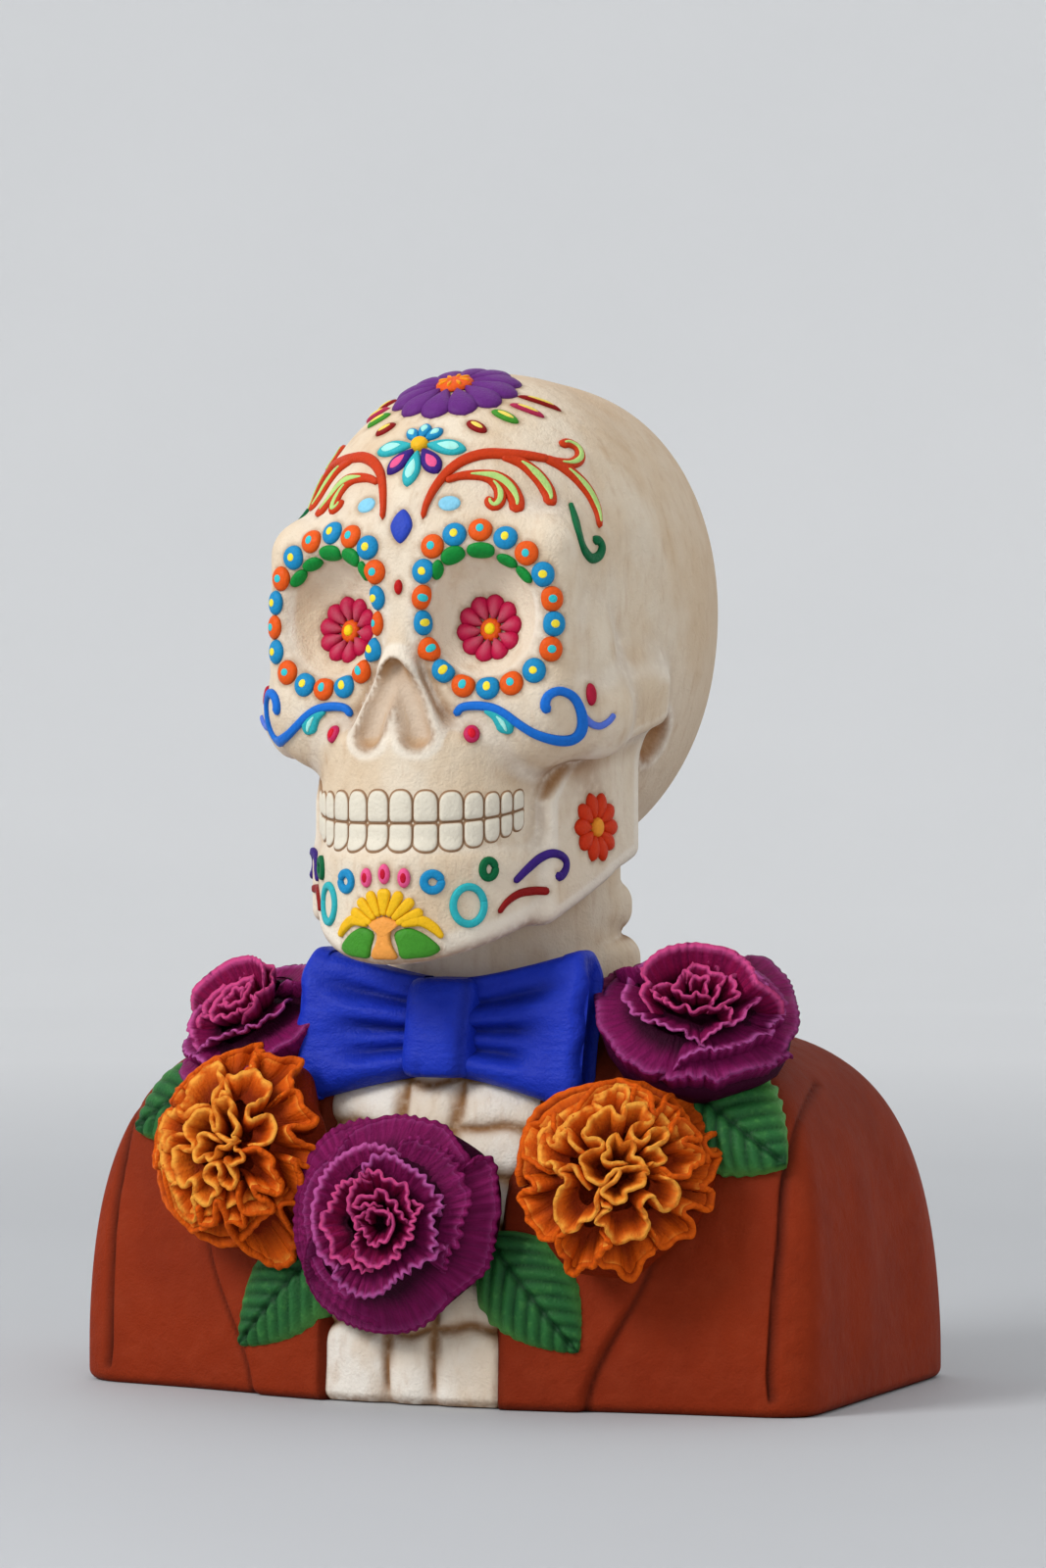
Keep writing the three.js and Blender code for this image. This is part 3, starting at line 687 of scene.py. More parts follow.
def front_of_skull(x, z):
    """The skull's front surface at a distance from the middle and a height."""
    return marched(np.array((x, -140.0, z)), np.array((0, 1, 0)))


stained = []  # points round which the bone keeps some of the brown wash

PAD_SHARES = np.append(0.12, eased(0.22, 8))


def fill_strip(count):
    """Quads that close a ring of an even number of points."""
    i = np.arange(count // 2 - 1)
    return np.stack([i, count - 1 - i, count - 2 - i, i + 1], -1)


def pad(outline, height, swell=3.5, sink=0.5):
    """A raised pad of paint inside an outline: points, faces and how near the rim they are."""
    middle = settle(skull, outline.mean(0))
    out = unit(slope(skull, middle))
    around = np.cross(outline - middle, np.roll(outline, -1, 0) - middle).sum(0)
    if around @ out > 0:
        outline = outline[::-1]
    flat = middle + PAD_SHARES[:, None, None] * (outline - middle)
    flat = settle(skull, flat)
    rise = height * np.sqrt(1 - PAD_SHARES**swell) - sink * PAD_SHARES**12
    points = flat + unit(slope(skull, flat)) * rise[:, None, None]
    count = len(outline)
    faces = np.vstack([grid_faces(len(PAD_SHARES), count, True), fill_strip(count)])
    return points.reshape(-1, 3), faces, np.repeat(PAD_SHARES**9, count)


def ribbon(path, widths, height):
    """A raised stroke of paint along a path, as wide as `widths` says from end to end."""
    path = settle(skull, path)
    along = unit(np.gradient(path, axis=0))
    side = unit(np.cross(along, slope(skull, path)))
    run = np.append(0, np.cumsum(steps(path)))
    half = np.interp(run / run[-1], np.linspace(0, 1, len(widths)), widths) / 2
    end = np.clip(np.minimum(run, run[-1] - run) / half, 0, 1)
    cap = np.sqrt(np.clip(1 - (1 - end) ** 2, 0.01, 1))
    shares = eased(-1, 11)
    flat = path[:, None] + side[:, None] * (shares[None, :] * (half * cap)[:, None])[..., None]
    flat = settle(skull, flat)
    rise = height * cap[:, None] * np.sqrt(1 - np.abs(shares) ** 4) - 0.5 * shares**12
    points = flat + unit(slope(skull, flat)) * rise[..., None]
    rim = np.maximum(np.abs(shares) ** 9, 1 - cap[:, None])
    return points.reshape(-1, 3), grid_faces(*rise.shape), rim.ravel()


def disc(middle, across, up, tilt=0, point=2, count=28):
    """An oval on the skull round a point, tilted clockwise by degrees; point 1 is a lozenge."""
    middle = np.asarray(middle, float)
    right, high = across_and_up(unit(slope(skull, middle)))
    a = np.arange(count) / count * 2 * np.pi
    squash = squared(np.cos(a), np.sin(a), point)
    u, v = across * np.cos(a) * squash, up * np.sin(a) * squash
    t = -math.radians(tilt)
    u, v = u * math.cos(t) - v * math.sin(t), u * math.sin(t) + v * math.cos(t)
    return settle(skull, middle + u[:, None] * right + v[:, None] * high)


def petal_outline(middle, angle, inner, outer, width, count=36, blunt=0.75):
    """A petal pointing at an angle, in degrees from the figure's left, round a point."""
    right, high = across_and_up(unit(slope(skull, middle)))
    t = np.append(np.linspace(0, 1, count // 2, False), np.linspace(1, 0, count // 2, False))
    half = width / 2 * np.sin(np.pi * np.clip(t, 0, 1) ** (1 / blunt)) ** 0.6
    v = np.where(np.arange(count) < count // 2, half, -half)
    u = inner + (outer - inner) * t
    a = math.radians(angle)
    along = math.cos(a) * right + math.sin(a) * high
    across = -math.sin(a) * right + math.cos(a) * high
    return settle(skull, middle + u[:, None] * along + v[:, None] * across)


def add_pad(piece, outline, height, colour, light=None, both=True, swell=3.5, streak=None):
    """Adds a pad, and the stroke of lighter paint from its middle along `streak`."""
    points, faces, rim = pad(outline, height, swell)
    shine = np.zeros(len(points))
    if streak is not None:
        middle, way = points.mean(0), streak
        away = points - middle
        run = away @ way
        off = np.linalg.norm(away - run[:, None] * way, axis=1)
        size = np.abs(run).max()
        shine = 0.55 * ridge(off, size * 0.36) * ridge(run, size * 0.8)
        shine += 0.7 * ridge(off, size * 0.14) * ridge(run + size * 0.2, size * 0.45)
    put = piece.pair if both else piece.add
    put(points, faces, ornament(colour, light or "ffffff"), rim=rim, light=shine)
    stained.append(outline)
    if both:
        stained.append(outline * MIRROR)


def add_button(piece, outline, height, swell, lift, rim_share, colour, light=None, both=True):
    """Adds a pad that stands lifted on another, with less wash round its rim."""
    points, faces, rim = pad(outline, height, swell)
    put = piece.pair if both else piece.add
    put(points + lift, faces, ornament(colour, light or "ffffff"), rim=rim * rim_share)


def add_ribbon(piece, pixels, widths, height, colour, count=40, lift=0.0):
    """Adds a stroke along pixels of the photograph, and its mirror image."""
    path = seen(curve(pixels, count))
    points, faces, rim = ribbon(path, widths, height)
    if lift:
        points = points + unit(slope(skull, points)) * lift
    piece.pair(points, faces, ornament(colour), rim=rim * (lift == 0))
    stained.extend([path, path * MIRROR])


BLUE, ORANGE, YELLOW, TEAL = "1c8ac0", "e65a18", "f4d218", "2fb0b8"
LIGHT_TEAL, LIGHT_YELLOW = "35c4cc", "f8e23c"
RED, LIME, GREEN, DEEP_GREEN = "c63a12", "b5d97e", "148a38", "04643a"
PURPLE, VIOLET, CRIMSON, PINK = "64287a", "3a1f78", "b01838", "e8588e"
SCROLL_BLUE, PALE_BLUE, AQUA, PERIWINKLE = "1a6fd0", "86cbe6", "a6ebe0", "5a78d8"
AMBER, LEAF_GREEN, DARK_RED = "f09a30", "43902c", "8c1414"

BEADS = (
    (490, 540.6), (515.6, 548.5), (537.1, 564.4), (553.8, 586), (563, 611), (565.3, 636.5),
    (562.1, 662.3), (544.8, 684.1), (521.6, 696.9), (497.5, 701.3), (472.5, 699),
    (452.1, 684.1), (438.8, 662.3), (431.5, 635.6), (430.5, 609.4), (431.9, 582.9),
    (440.9, 557.3), (463.5, 545.3),
)


def eye_rings():
    """A ring of domed beads round each eye, with green lozenges under its top."""
    piece = Piece("eye_rings")
    for i, at in enumerate(seen(BEADS)):
        outline = disc(at, 3.85, 3.95)
        points, faces, rim = pad(outline, 1.7, 2.4)
        dot, dot_faces, dot_rim = pad(disc(at, 1.2, 1.25, count=16), 0.3, 3, sink=0)
        dot = dot + unit(slope(skull, dot)) * 1.6
        for side, shown in ((1, i % 2 == 0), (-1, i % 2 == 1)):
            mirror = np.array((side, 1, 1))
            coat, mark = (ORANGE, LIGHT_TEAL) if shown else (BLUE, LIGHT_YELLOW)
            piece.add(points * mirror, faces[:, ::side], ornament(coat), rim=rim)
            piece.add(dot * mirror, dot_faces[:, ::side], ornament(mark), rim=dot_rim * 0.5)
            stained.append(outline * mirror)
    for pixel, across, up, tilt in LOZENGES:
        add_pad(piece, disc(seen_at(pixel), across, up, tilt), 1.2, GREEN)
    piece.build()


LOZENGES = (
    ((446.1, 581.6), 2.2, 3.6, -12),
    ((462.0, 567.0), 4.0, 3.6, -16),
    ((490.5, 561.5), 4.5, 3.6, 0),
    ((517.5, 572.0), 3.8, 2.5, 30),
    ((535.0, 586.0), 3.6, 2.2, 50),
)

EYE_FLOWER = (23.3, -66.2, 235.3)


def flower(
    piece, middle, petals, inner, reach, width, colour, light, height, both=True, turn=0, blunt=0.75
):
    """Petals round a point of the skull, each with a lighter stroke down its middle."""
    middle = settle(skull, np.array(middle, float))
    for i in range(petals):
        outline = petal_outline(middle, turn + 360 / petals * i, inner, reach, width, blunt=blunt)
        streak = unit(outline.mean(0) - middle)
        add_pad(piece, outline, height, colour, light, both, 2.2, streak)
    return middle


def eye_flowers():
    """The crimson flower deep in each eye."""
    piece = Piece("eye_flowers")
    middle = flower(
        piece, EYE_FLOWER, 10, 2.2, 12.3, 6.6, "ba1244", "fbe4ec", 2.2, turn=8, blunt=0.58
    )
    out = unit(slope(skull, middle))
    for radius, height, lift, colour in ((3.3, 1.2, 1.0, ORANGE), (1.75, 0.9, 2.0, YELLOW)):
        add_button(piece, disc(middle, radius, radius * 1.1), height, 2.5, out * lift, 0.6, colour)
    piece.build()


BROW_MAIN = (
    (431.1, 530), (435.6, 513.1), (445.2, 495.5), (458.9, 479.6), (474.8, 469.1),
    (493.9, 463.6), (514.7, 463.6), (537, 465.2), (560.9, 469.1),
)
BROW_LONG = (
    (554.5, 467.8), (572.1, 475.4), (588.6, 488.2), (601.4, 504.1), (609.1, 522.6),
    (611, 539.2),
)
BROW_CURL = (
    (553.7, 467.4), (568.3, 471.8), (582.6, 473.2), (591.2, 467.6), (588.8, 458),
    (578.6, 452.5), (571.1, 455.2),
)
BROW_SECOND = (
    (510.7, 465.8), (530.6, 472.2), (545, 482.8), (555.5, 495.5), (560.9, 508.3),
    (558.7, 515.6),
)
BROW_LOW = (
    (454.1, 491.4), (470, 486), (489.2, 485), (506.7, 487.6), (519.5, 497.1), (526.8, 511.5),
    (526.1, 523.3),
)
BROW_HOOK = (
    (487.6, 486.6), (500.3, 490.1), (508.9, 499.7), (509.9, 510.5), (504.5, 516.9),
    (499.4, 512.4), (501.9, 507.3),
)


def brow_scrolls():
    """The red scrolls over the brows, each frond with a light green tongue."""
    piece = Piece("brow_scrolls")
    add_ribbon(piece, BROW_MAIN, (1.6, 2.6, 3.2, 3.8, 4.0, 3.6, 2.8), 1.2, RED)
    for pixels, widths, inlay in (
        (BROW_LONG, (3.2, 4.5, 4.9, 4.1, 1.8), 2.4),
        (BROW_CURL, (2.6, 3.5, 4.0, 3.8, 3.1), 2.0),
        (BROW_SECOND, (2.5, 4.0, 5.2, 5.6, 4.0), 2.9),
        (BROW_LOW, (2.0, 3.1, 4.1, 5.4, 5.6, 4.4), 2.7),
        (BROW_HOOK, (2.2, 3.2, 4.0, 3.9, 3.2), 2.0),
    ):
        add_ribbon(piece, pixels, widths, 1.1, RED)
        tongue = curve(pixels, 24)[6:-1]
        add_ribbon(piece, tongue, (0.5, inlay, inlay, 0.7), 0.7, LIME, 26, lift=0.7)
    piece.build()


CHEEK_SCROLL = (
    (464.7, 731), (470.4, 722.4), (485.4, 720.1), (502.6, 722.4), (515.5, 728.7),
    (529.9, 739.3), (547.1, 749.4), (568.6, 755.4), (584.4, 754), (593, 744.5), (593, 728.7),
    (585.2, 712.1), (571.5, 705.2), (559.4, 710), (556, 720.7), (561.4, 726.4),
)
CHEEK_TAIL = ((593, 727.3), (601.6, 737.3), (611.1, 740.8), (620.8, 735.9), (626.6, 728.1))
CHEEK_LEAF = ((494, 725.3), (505.5, 729.3), (513.5, 737.3), (517.5, 745.9), (518.1, 749.4))
TEMPLE_SCROLL = (
    (581, 513.1), (586.1, 529), (589.9, 544.9), (594.4, 559.3), (602.4, 569.5), (610.3, 567.3),
    (613.5, 558.3), (609.7, 551.3), (604.6, 552.6),
)
TEMPLE_OVAL = (602.8, 708.6)
CHEEK_DOT = (481.1, 748.8)


def face_scrolls():
    """Scrolls on the cheeks and temples, with the ovals beside them."""
    piece = Piece("face_scrolls")
    widths = (2.6, 2.9, 2.7, 2.8, 3.4, 4.2, 3.2, 2.8, 3.4)
    add_ribbon(piece, CHEEK_SCROLL, widths, 1.3, SCROLL_BLUE, 90)
    add_ribbon(piece, CHEEK_TAIL, (2.2, 2.4, 2.2, 1.7), 1.0, PERIWINKLE)
    add_ribbon(piece, CHEEK_LEAF, (1.0, 3.4, 5.2, 6.2, 5.0), 1.1, TEAL)
    add_ribbon(piece, curve(CHEEK_LEAF, 20)[7:-2], (0.4, 1.8, 0.8), 0.4, AQUA, 16, lift=0.9)
    add_ribbon(piece, TEMPLE_SCROLL, (1.2, 3.0, 3.6, 3.2, 3.4, 3.0), 1.1, DEEP_GREEN, 50)
    add_pad(piece, disc(seen_at(TEMPLE_OVAL), 1.9, 3.6), 1.3, CRIMSON, PINK)
    cheek = seen_at(CHEEK_DOT)
    add_pad(piece, disc(cheek, 2.6, 3.0), 1.2, "c42a5a", PINK)
    add_pad(piece, disc(cheek, 1.5, 1.9, count=16), 1.7, "d8142c")
    piece.build()


CROWN_PIXEL = (455.8, 394.1)
BROW_FLOWER = (0, -71.5, 294.6)
SEEDS = (
    ((486.3, 435.6), 3.9, 2.1, 38, DARK_RED),
    ((515.3, 425.1), 4.9, 2.1, 38, LEAF_GREEN),
    ((537.9, 418.7), 6.0, 1.5, 34, "b02a50"),
    ((550.7, 411.0), 7.6, 1.3, 32, DARK_RED),
)
BROW_PETALS = (
    (-3, 16.0, 6.2, TEAL, AQUA),
    (-90, 16.5, 5.8, TEAL, AQUA),
    (-50, 14.0, 6.4, VIOLET, PINK),
    (50, 9.0, 4.2, BLUE, AQUA),
    (90, 9.0, 4.4, BLUE, AQUA),
)
BROW_DOT = (458.5, 513.7)
BROW_LOZENGE_HEIGHT = 266.8
NOSE_DROP_HEIGHT = 248.3


def forehead():
    """The daisy on the crown, the flower under it and the seeds round them."""
    piece = Piece("forehead")
    crown = seen_at(CROWN_PIXEL) * (0, 1, 1)
    middle = flower(piece, crown, 12, 4, 22.5, 10.5, PURPLE, "80409a", 2.2, False, blunt=0.55)
    out = unit(slope(skull, middle))
    add_button(piece, disc(middle, 6.2, 6.2), 1.4, 3, out * 0.9, 0.4, ORANGE, YELLOW, False)
    for turn in range(0, 360, 45):
        core = petal_outline(middle, turn, 1.6, 5.4, 1.3, 16)
        add_button(piece, core, 0.5, 3, out * 2.1, 0.4, "f09a1c", both=False)

    middle = settle(skull, np.array(BROW_FLOWER, float))
    for angle, reach, width, colour, light in BROW_PETALS:
        for turned in (angle, 180 - angle) if angle % 90 else (angle,):
            outline = petal_outline(middle, turned, 1.6, reach, width)
            add_pad(piece, outline, 1.3, colour, both=False)
            core = petal_outline(middle, turned, 2.4 + reach * 0.14, reach * 0.9, width * 0.68, 20)
            add_pad(piece, core, 1.55, light, both=False)
    out = unit(slope(skull, middle))
    add_button(piece, disc(middle, 2.9, 2.7), 1.9, 2.5, out * 0.5, 0.5, "f4b820", both=False)

    for pixel, long, wide, tilt, colour in SEEDS:
        at = seen_at(pixel)
        add_pad(piece, disc(at, long, wide, tilt), 1.1, colour)
        add_pad(piece, disc(at, long * 0.72, wide * 0.5, tilt, count=16), 1.4, "f0d860")
    add_pad(piece, disc(seen_at(BROW_DOT), 3.6, 2.8), 0.7, PALE_BLUE)
    lozenge = disc(front_of_skull(0, BROW_LOZENGE_HEIGHT), 3.8, 5.6, point=1.5)
    add_pad(piece, lozenge, 1.3, "2f48b8", both=False)
    drop = disc(front_of_skull(0, NOSE_DROP_HEIGHT), 1.4, 2.4)
    add_pad(piece, drop, 1.1, "b81818", both=False)
    piece.build()


JAW_FLOWER = (607.5, 844.1)
JAW_HOOK = (
    (524.1, 900.3), (538.5, 886), (552.8, 874.5), (565.7, 870.8), (575.8, 876.5),
    (576.6, 886.6), (570.9, 894.6), (568, 890),
)
JAW_ARC = ((508.3, 931.9), (516.9, 920.4), (529.9, 911.8), (545.6, 909), (560.6, 909.5))
DONUTS = (
    ((441.2, 900.1), 2.6, 2.5, 2.8, BLUE),
    ((498.6, 886.9), 2.1, 2.6, 2.6, DEEP_GREEN),
    ((478.2, 923.9), 4.9, 5.6, 2.5, TEAL),
)


def jaw_ornaments():
    """The flower on each side of the jaw, with the strokes and rings before it."""
    piece = Piece("jaw_ornaments")
    at = seen_at(JAW_FLOWER)
    middle = flower(piece, at, 10, 2, 11.2, 5.7, "cf3310", "ee6a2c", 1.7)
    out = unit(slope(skull, middle))
    add_button(piece, disc(middle, 2.6, 3.1), 1.5, 2.5, out * 0.8, 0.5, AMBER)
    add_ribbon(piece, JAW_HOOK, (2.2, 2.9, 2.8, 2.6, 3.2), 1.1, VIOLET, 50)
    add_ribbon(piece, JAW_ARC, (1.6, 2.4, 2.8, 2.6), 1.0, DARK_RED)
    for pixel, across, up, width, colour in DONUTS:
        ring = disc(seen_at(pixel), across, up, count=30)
        points, faces, rim = ribbon(np.vstack([ring, ring[:3]]), (width,), 1.1)
        piece.pair(points, faces, ornament(colour), rim=rim)
        stained.extend([ring, ring * MIRROR])
    piece.build()


CHIN_SEEDS = (((393.5, 892.0), 2.0, 3.2), ((411.9, 896.0), 2.1, 3.1))
FAN_MIDDLE = (389.8, 950.0)
FAN_START = 0.35  # of the way from its middle to a tip
FAN_TIPS = ((393.8, 906.5), (408.6, 909.5), (421.5, 917.5), (431.5, 929.5))
WING = ((408.7, 943.5), (428, 939.7), (442.3, 946.8), (451.5, 957.3))
CHIN_LEAF = (
    (403.6, 950.3), (416.5, 946.4), (429.4, 950.7), (440.9, 958.3), (450.1, 968.4),
    (440.9, 975.5), (424.2, 978), (408.9, 978), (405, 966.5), (401.8, 956),
)
TRUNK = (
    (389.8, 934), (399, 936.5), (410, 942.5), (401.5, 947), (398.6, 956), (401, 966),
    (406, 978.5), (389.8, 979.5),
)


def chin_tree():
    """A tree of fanned yellow petals on the chin, its leaves, and the seeds over it."""
    piece = Piece("chin_tree")
    for pixel, across, up in CHIN_SEEDS:
        at = seen_at(pixel)
        both = at[0] > 2  # or it is the seed in the middle
        at = at if both else front_of_skull(0, at[2])
        add_pad(piece, disc(at, across, up), 1.2, PINK, both=both)
        add_pad(piece, disc(at, across * 0.58, up * 0.68, count=16), 1.45, "c01030", both=both)
    root = seen_at(FAN_MIDDLE)
    for end in seen(FAN_TIPS):
        start = root + (end - root) * FAN_START
        points, faces, rim = ribbon(np.linspace(start, end, 22), (1.8, 2.6, 3.4, 3.6, 3.2), 1.3)
        piece.pair(points, faces, ornament("f2bc1c"), rim=rim)
        stained.extend([end[None], end[None] * MIRROR])
    add_ribbon(piece, WING, (2.2, 3.4, 3.6, 3.2, 1.8), 1.3, "f2bc1c")
    add_pad(piece, seen(curve(CHIN_LEAF, 30, True)), 1.2, LEAF_GREEN, swell=6)
    half = seen(curve(TRUNK, 24))
    half[0, 0] = half[-1, 0] = 0
    trunk = np.vstack([half, half[-2:0:-1] * MIRROR])
    add_pad(piece, settle(skull, trunk), 1.5, "f0a04a", both=False, swell=6)
    piece.build()


# Teeth.

TOOTH_WIDTHS = (7.7, 7.8, 7.6, 6.4, 5.4, 4.5, 4.6)
TOOTH_HEIGHTS = (10.1, 9.9, 9.4, 8.5, 7.6, 6.9, 6.2)
TOOTH_GAP = 0.35
TOOTH_LINE = 0.4  # of brown wash round a tooth
BITE = 177
BITE_RISE = 4.6  # by the last tooth
TOOTH_ARCH = (-54, 35.5, 36.6)  # its middle, half its width and its depth
TOOTH_RISE = 1.0
TOOTH_RIM = 44  # points round it
BITE_SQUARENESS, GUM_SQUARENESS = 9.0, 2.5


def teeth():
    """Rounded teeth in two rows along the jaw, straight at the bite and arched at the gum."""
    piece = Piece("teeth")
    middle, across, deep = TOOTH_ARCH
    turn = 0
    last = sum(TOOTH_WIDTHS) / across
    a = np.arange(TOOTH_RIM) / TOOTH_RIM * 2 * np.pi
    u, v = np.cos(a), np.sin(a)
    shares = np.concatenate([[0.15], eased(0.3, 8), (1, 1)])[:, None]
    beyond = np.zeros((len(shares), 1))
    beyond[-2:, 0] = TOOTH_LINE
    rise = TOOTH_RISE * np.sqrt(1 - shares**4)
    rise[-3:, 0] = 0, 0.12, -1
    rim = np.append(shares[:-3, 0] ** 16, (0.8, 1, 1))
    for width, height in zip(TOOTH_WIDTHS, TOOTH_HEIGHTS):
        reach = math.hypot(across * math.cos(turn), deep * math.sin(turn))
        here = turn + width / 2 / reach
        turn += width / reach
        for row in (-1, 1):
            square = np.where(v * row > 0, GUM_SQUARENESS, BITE_SQUARENESS)
            size = squared(u, v, square)
            s = u * size * (shares * (width - TOOTH_GAP) / 2 + beyond)
            h = v * size * (shares * (height - TOOTH_GAP) / 2 + beyond)
            angle = here + s / reach
            x, y = across * np.sin(angle), middle - deep * np.cos(angle)
            z = BITE + BITE_RISE * (np.abs(angle) / last) ** 3 + row * (height / 2 + 0.05) + h
            flat = settle(skull, np.stack([x, y, z], -1), 3)
            points = flat + unit(slope(skull, flat)) * rise[..., None]
            faces = np.vstack([grid_faces(len(shares), TOOTH_RIM, True), fill_strip(TOOTH_RIM)])
            piece.pair(points, faces[:, ::-1], TOOTH, rim=np.repeat(rim, TOOTH_RIM))
    piece.build()


HEAD_LOW, HEAD_HIGH = (-70, -105, 92), (70, 98, 324)
SKULL_CELL = 1.29
# Where brown wash and painted shade lie thick: behind the teeth under the cheekbone, and under the
# arch's end.
PITS = (((31, -52, 191), (40, -38, 188)), ((50, -3, 206), (49, -6, 197)))
PIT_REACH = 6.5
STAIN_REACH = 0.85
CREASE_REACH, SHADE_REACH, EDGE_HIGHLIGHT_REACH = 3, 11, -5


def skull_and_neck():
    """The bone, with the fields that tell its paint where the brown wash, the painted shade and the
    painted edge highlights lie.
    """
    points, faces = skin(head, HEAD_LOW, HEAD_HIGH, SKULL_CELL)
    x, y, z = points.T
    left = np.column_stack([np.abs(x), y, z])
    pit = np.maximum(np.min([cone(left, a, b, 0, 0) for a, b in PITS], 0), 0)
    # Painted shade towards the back of the skull, left off the neck, and over the back of the
    # crown.
    back, crown = smooth(-30, 45, y) * smooth(148, 166, z), smooth(-50, 0, y) * smooth(280, 310, z)
    piece = Piece("skull_and_neck")
    piece.add(
        points,
        faces,
        BONE,
        crease=hollowness(head, points, CREASE_REACH),
        shade=hollowness(head, points, SHADE_REACH),
        # Painted highlight along the convex edges.
        worn=hollowness(head, points, EDGE_HIGHLIGHT_REACH),
        # Painted shade towards the back and over the crown.
        back=np.maximum(back, crown),
        # Brown wash and painted shade in the pits.
        pit=ridge(pit, PIT_REACH),
        stain=ridge(distances(points, np.vstack(stained)), STAIN_REACH),
    )
    piece.build()


# The jacket rises from an outline on the floor to the neck, rounded over the shoulders.

HALF_JACKET = 125
JACKET_FRONT = 61
JACKET_BACK = 70
CHEST_BULGE = 15
SHOULDER_HEIGHT = 113
FOOT_ROUNDING = 3.5
PLAN_SQUARENESS = 15
SHOULDER_SQUARENESS = 3.6
CHEST_LEAN = 2
BACK_LEAN = 1.75
COLLAR_RADIUS = NECK_RADIUS + NECK_SPREAD
OPENING = 28.4
OPENING_SPREAD = 0.33  # of the opening, wider under the bow
LAPEL = 55.5
LAPEL_SPREAD = 20
LAPEL_RISE = 3.4
FRONT_RISE = 0.7  # of the cloth beside the lapels
PANEL_SINK = 5  # of the hidden front that the ribs lie over
SEAM_DEPTH = 2.0
SEAM_WIDTH = 1.2
SLEEVE_SLIMNESS = 1.0  # how far the sleeve lies back behind its seam
SEAM_X = 109
QUARTER = 360  # points of the outline from its front to its side


def jacket_outline():
    """The outline from the middle of the front to the middle of the back, and its length."""
    turn = np.linspace(0, np.pi, 2 * QUARTER + 1)
    deep = np.where(turn < np.pi / 2, JACKET_FRONT, JACKET_BACK)
    reach = squared(np.sin(turn) / HALF_JACKET, np.cos(turn) / deep, PLAN_SQUARENESS)
    x = reach * np.sin(turn)
    bulge = CHEST_BULGE * (1 + np.cos(np.pi * x / HALF_JACKET)) / 2 * (turn < np.pi / 2)
    points = np.stack([x, -reach * np.cos(turn) - bulge], -1)
    return points, np.append(0, np.cumsum(steps(points)))


OUTLINE, RUN = jacket_outline()
SIDE_RUN, BACK_RUN = RUN[QUARTER], RUN[-1]


def jacket_point(run, z, out=0.0):
    """The jacket at a length along its outline, a height, and `out` from its surface."""
    x, y = (np.interp(run, RUN, OUTLINE[:, i]) for i in (0, 1))
    turn = np.arctan2(x, -y)
    share = np.clip(z / SHOULDER_HEIGHT, 0, 1)
    shoulder = (1 - share**SHOULDER_SQUARENESS) ** (1 / SHOULDER_SQUARENESS)
    lean_power = np.where(y < 0, CHEST_LEAN, BACK_LEAN)
    lean = (1 - share**lean_power) ** (1 / lean_power)
    foot = 1 - np.clip(z / FOOT_ROUNDING, 0, 1)
    inset = FOOT_ROUNDING * (1 - np.sqrt(1 - foot**2))
    grown = 1 + (out - inset) / np.hypot(x, y)
    collar_x, collar_y = COLLAR_RADIUS * np.sin(turn), 2 - COLLAR_RADIUS * np.cos(turn)
    px = collar_x + (x * grown - collar_x) * shoulder
    py = collar_y + (y * grown - collar_y) * lean
    return np.stack(np.broadcast_arrays(px, py, z), -1)


def chest(x, z):
    """The front of the jacket at a distance from the middle and a height, and its normal."""
    x, z = np.broadcast_arrays(np.asarray(x, float), np.asarray(z, float))
    low, high = np.zeros(x.shape), np.full(x.shape, SIDE_RUN)
    for _ in range(26):
        half = (low + high) / 2
        short = jacket_point(half, z)[..., 0] < np.abs(x)
        low, high = np.where(short, half, low), np.where(short, high, half)
    across = jacket_point(low + 1, z) - jacket_point(np.maximum(low - 1, 0), z)
    up = jacket_point(low, z + 1) - jacket_point(low, z - 1)
    mirror = np.stack([np.where(x < 0, -1, 1), np.ones(x.shape), np.ones(x.shape)], -1)
    normal = unit(np.cross(across, up)) * mirror
    return jacket_point(low, z) * mirror, normal


def run_at(x):
    """The length along the outline's front at a distance from the middle."""
    return np.interp(x, OUTLINE[: QUARTER + 1, 0], RUN[: QUARTER + 1])


def opening_share(z):
    """How wide the jacket's opening is at a height, as a share of its width at the foot."""
    return 1 + OPENING_SPREAD * smooth(60, 94, z)


CLOSE_BY = np.array((-2.4, -1.7, -1.2, -0.8, -0.5, -0.2, 0.1, 0.4, 0.8, 1.3, 2, 3))


def thickened(places, width):
    """Extra places close on both sides of some places."""
    return np.concatenate([place + CLOSE_BY * width for place in places])


SEAM_PIXELS = (
    (788.6, 1427.6), (786.9, 1404), (788.6, 1371), (791.9, 1321), (796.8, 1271.7), (800, 1222),
    (803.5, 1195), (813.4, 1155.6), (823.4, 1129), (835, 1105.8),
)


def sleeve_seam():
    """The seam where a sleeve joins, from the floor up over the shoulder to the back."""
    aim = rays(curve(SEAM_PIXELS, 140))
    near, far = np.full(len(aim), 1400.0), np.full(len(aim), 1640.0)
    for _ in range(30):
        half = (near + far) / 2
        at = CAMERA_AT + aim * half[:, None]
        surface, _ = chest(np.clip(at[:, 0], 0, 124), np.clip(at[:, 2], 0.1, 112))
        inside = at[:, 1] > surface[:, 1]
        near, far = np.where(inside, near, half), np.where(inside, half, far)
    front = CAMERA_AT + aim * far[:, None]
    top = front[-1]
    over = np.linspace(0, 1, 80)[1:, None]
    back = top + over * (np.array((top[0] + 6, 55, top[2] - 14)) - top)
    back[:, 2] += 10 * np.sin(np.pi * over[:, 0])
    return np.vstack([front, back])


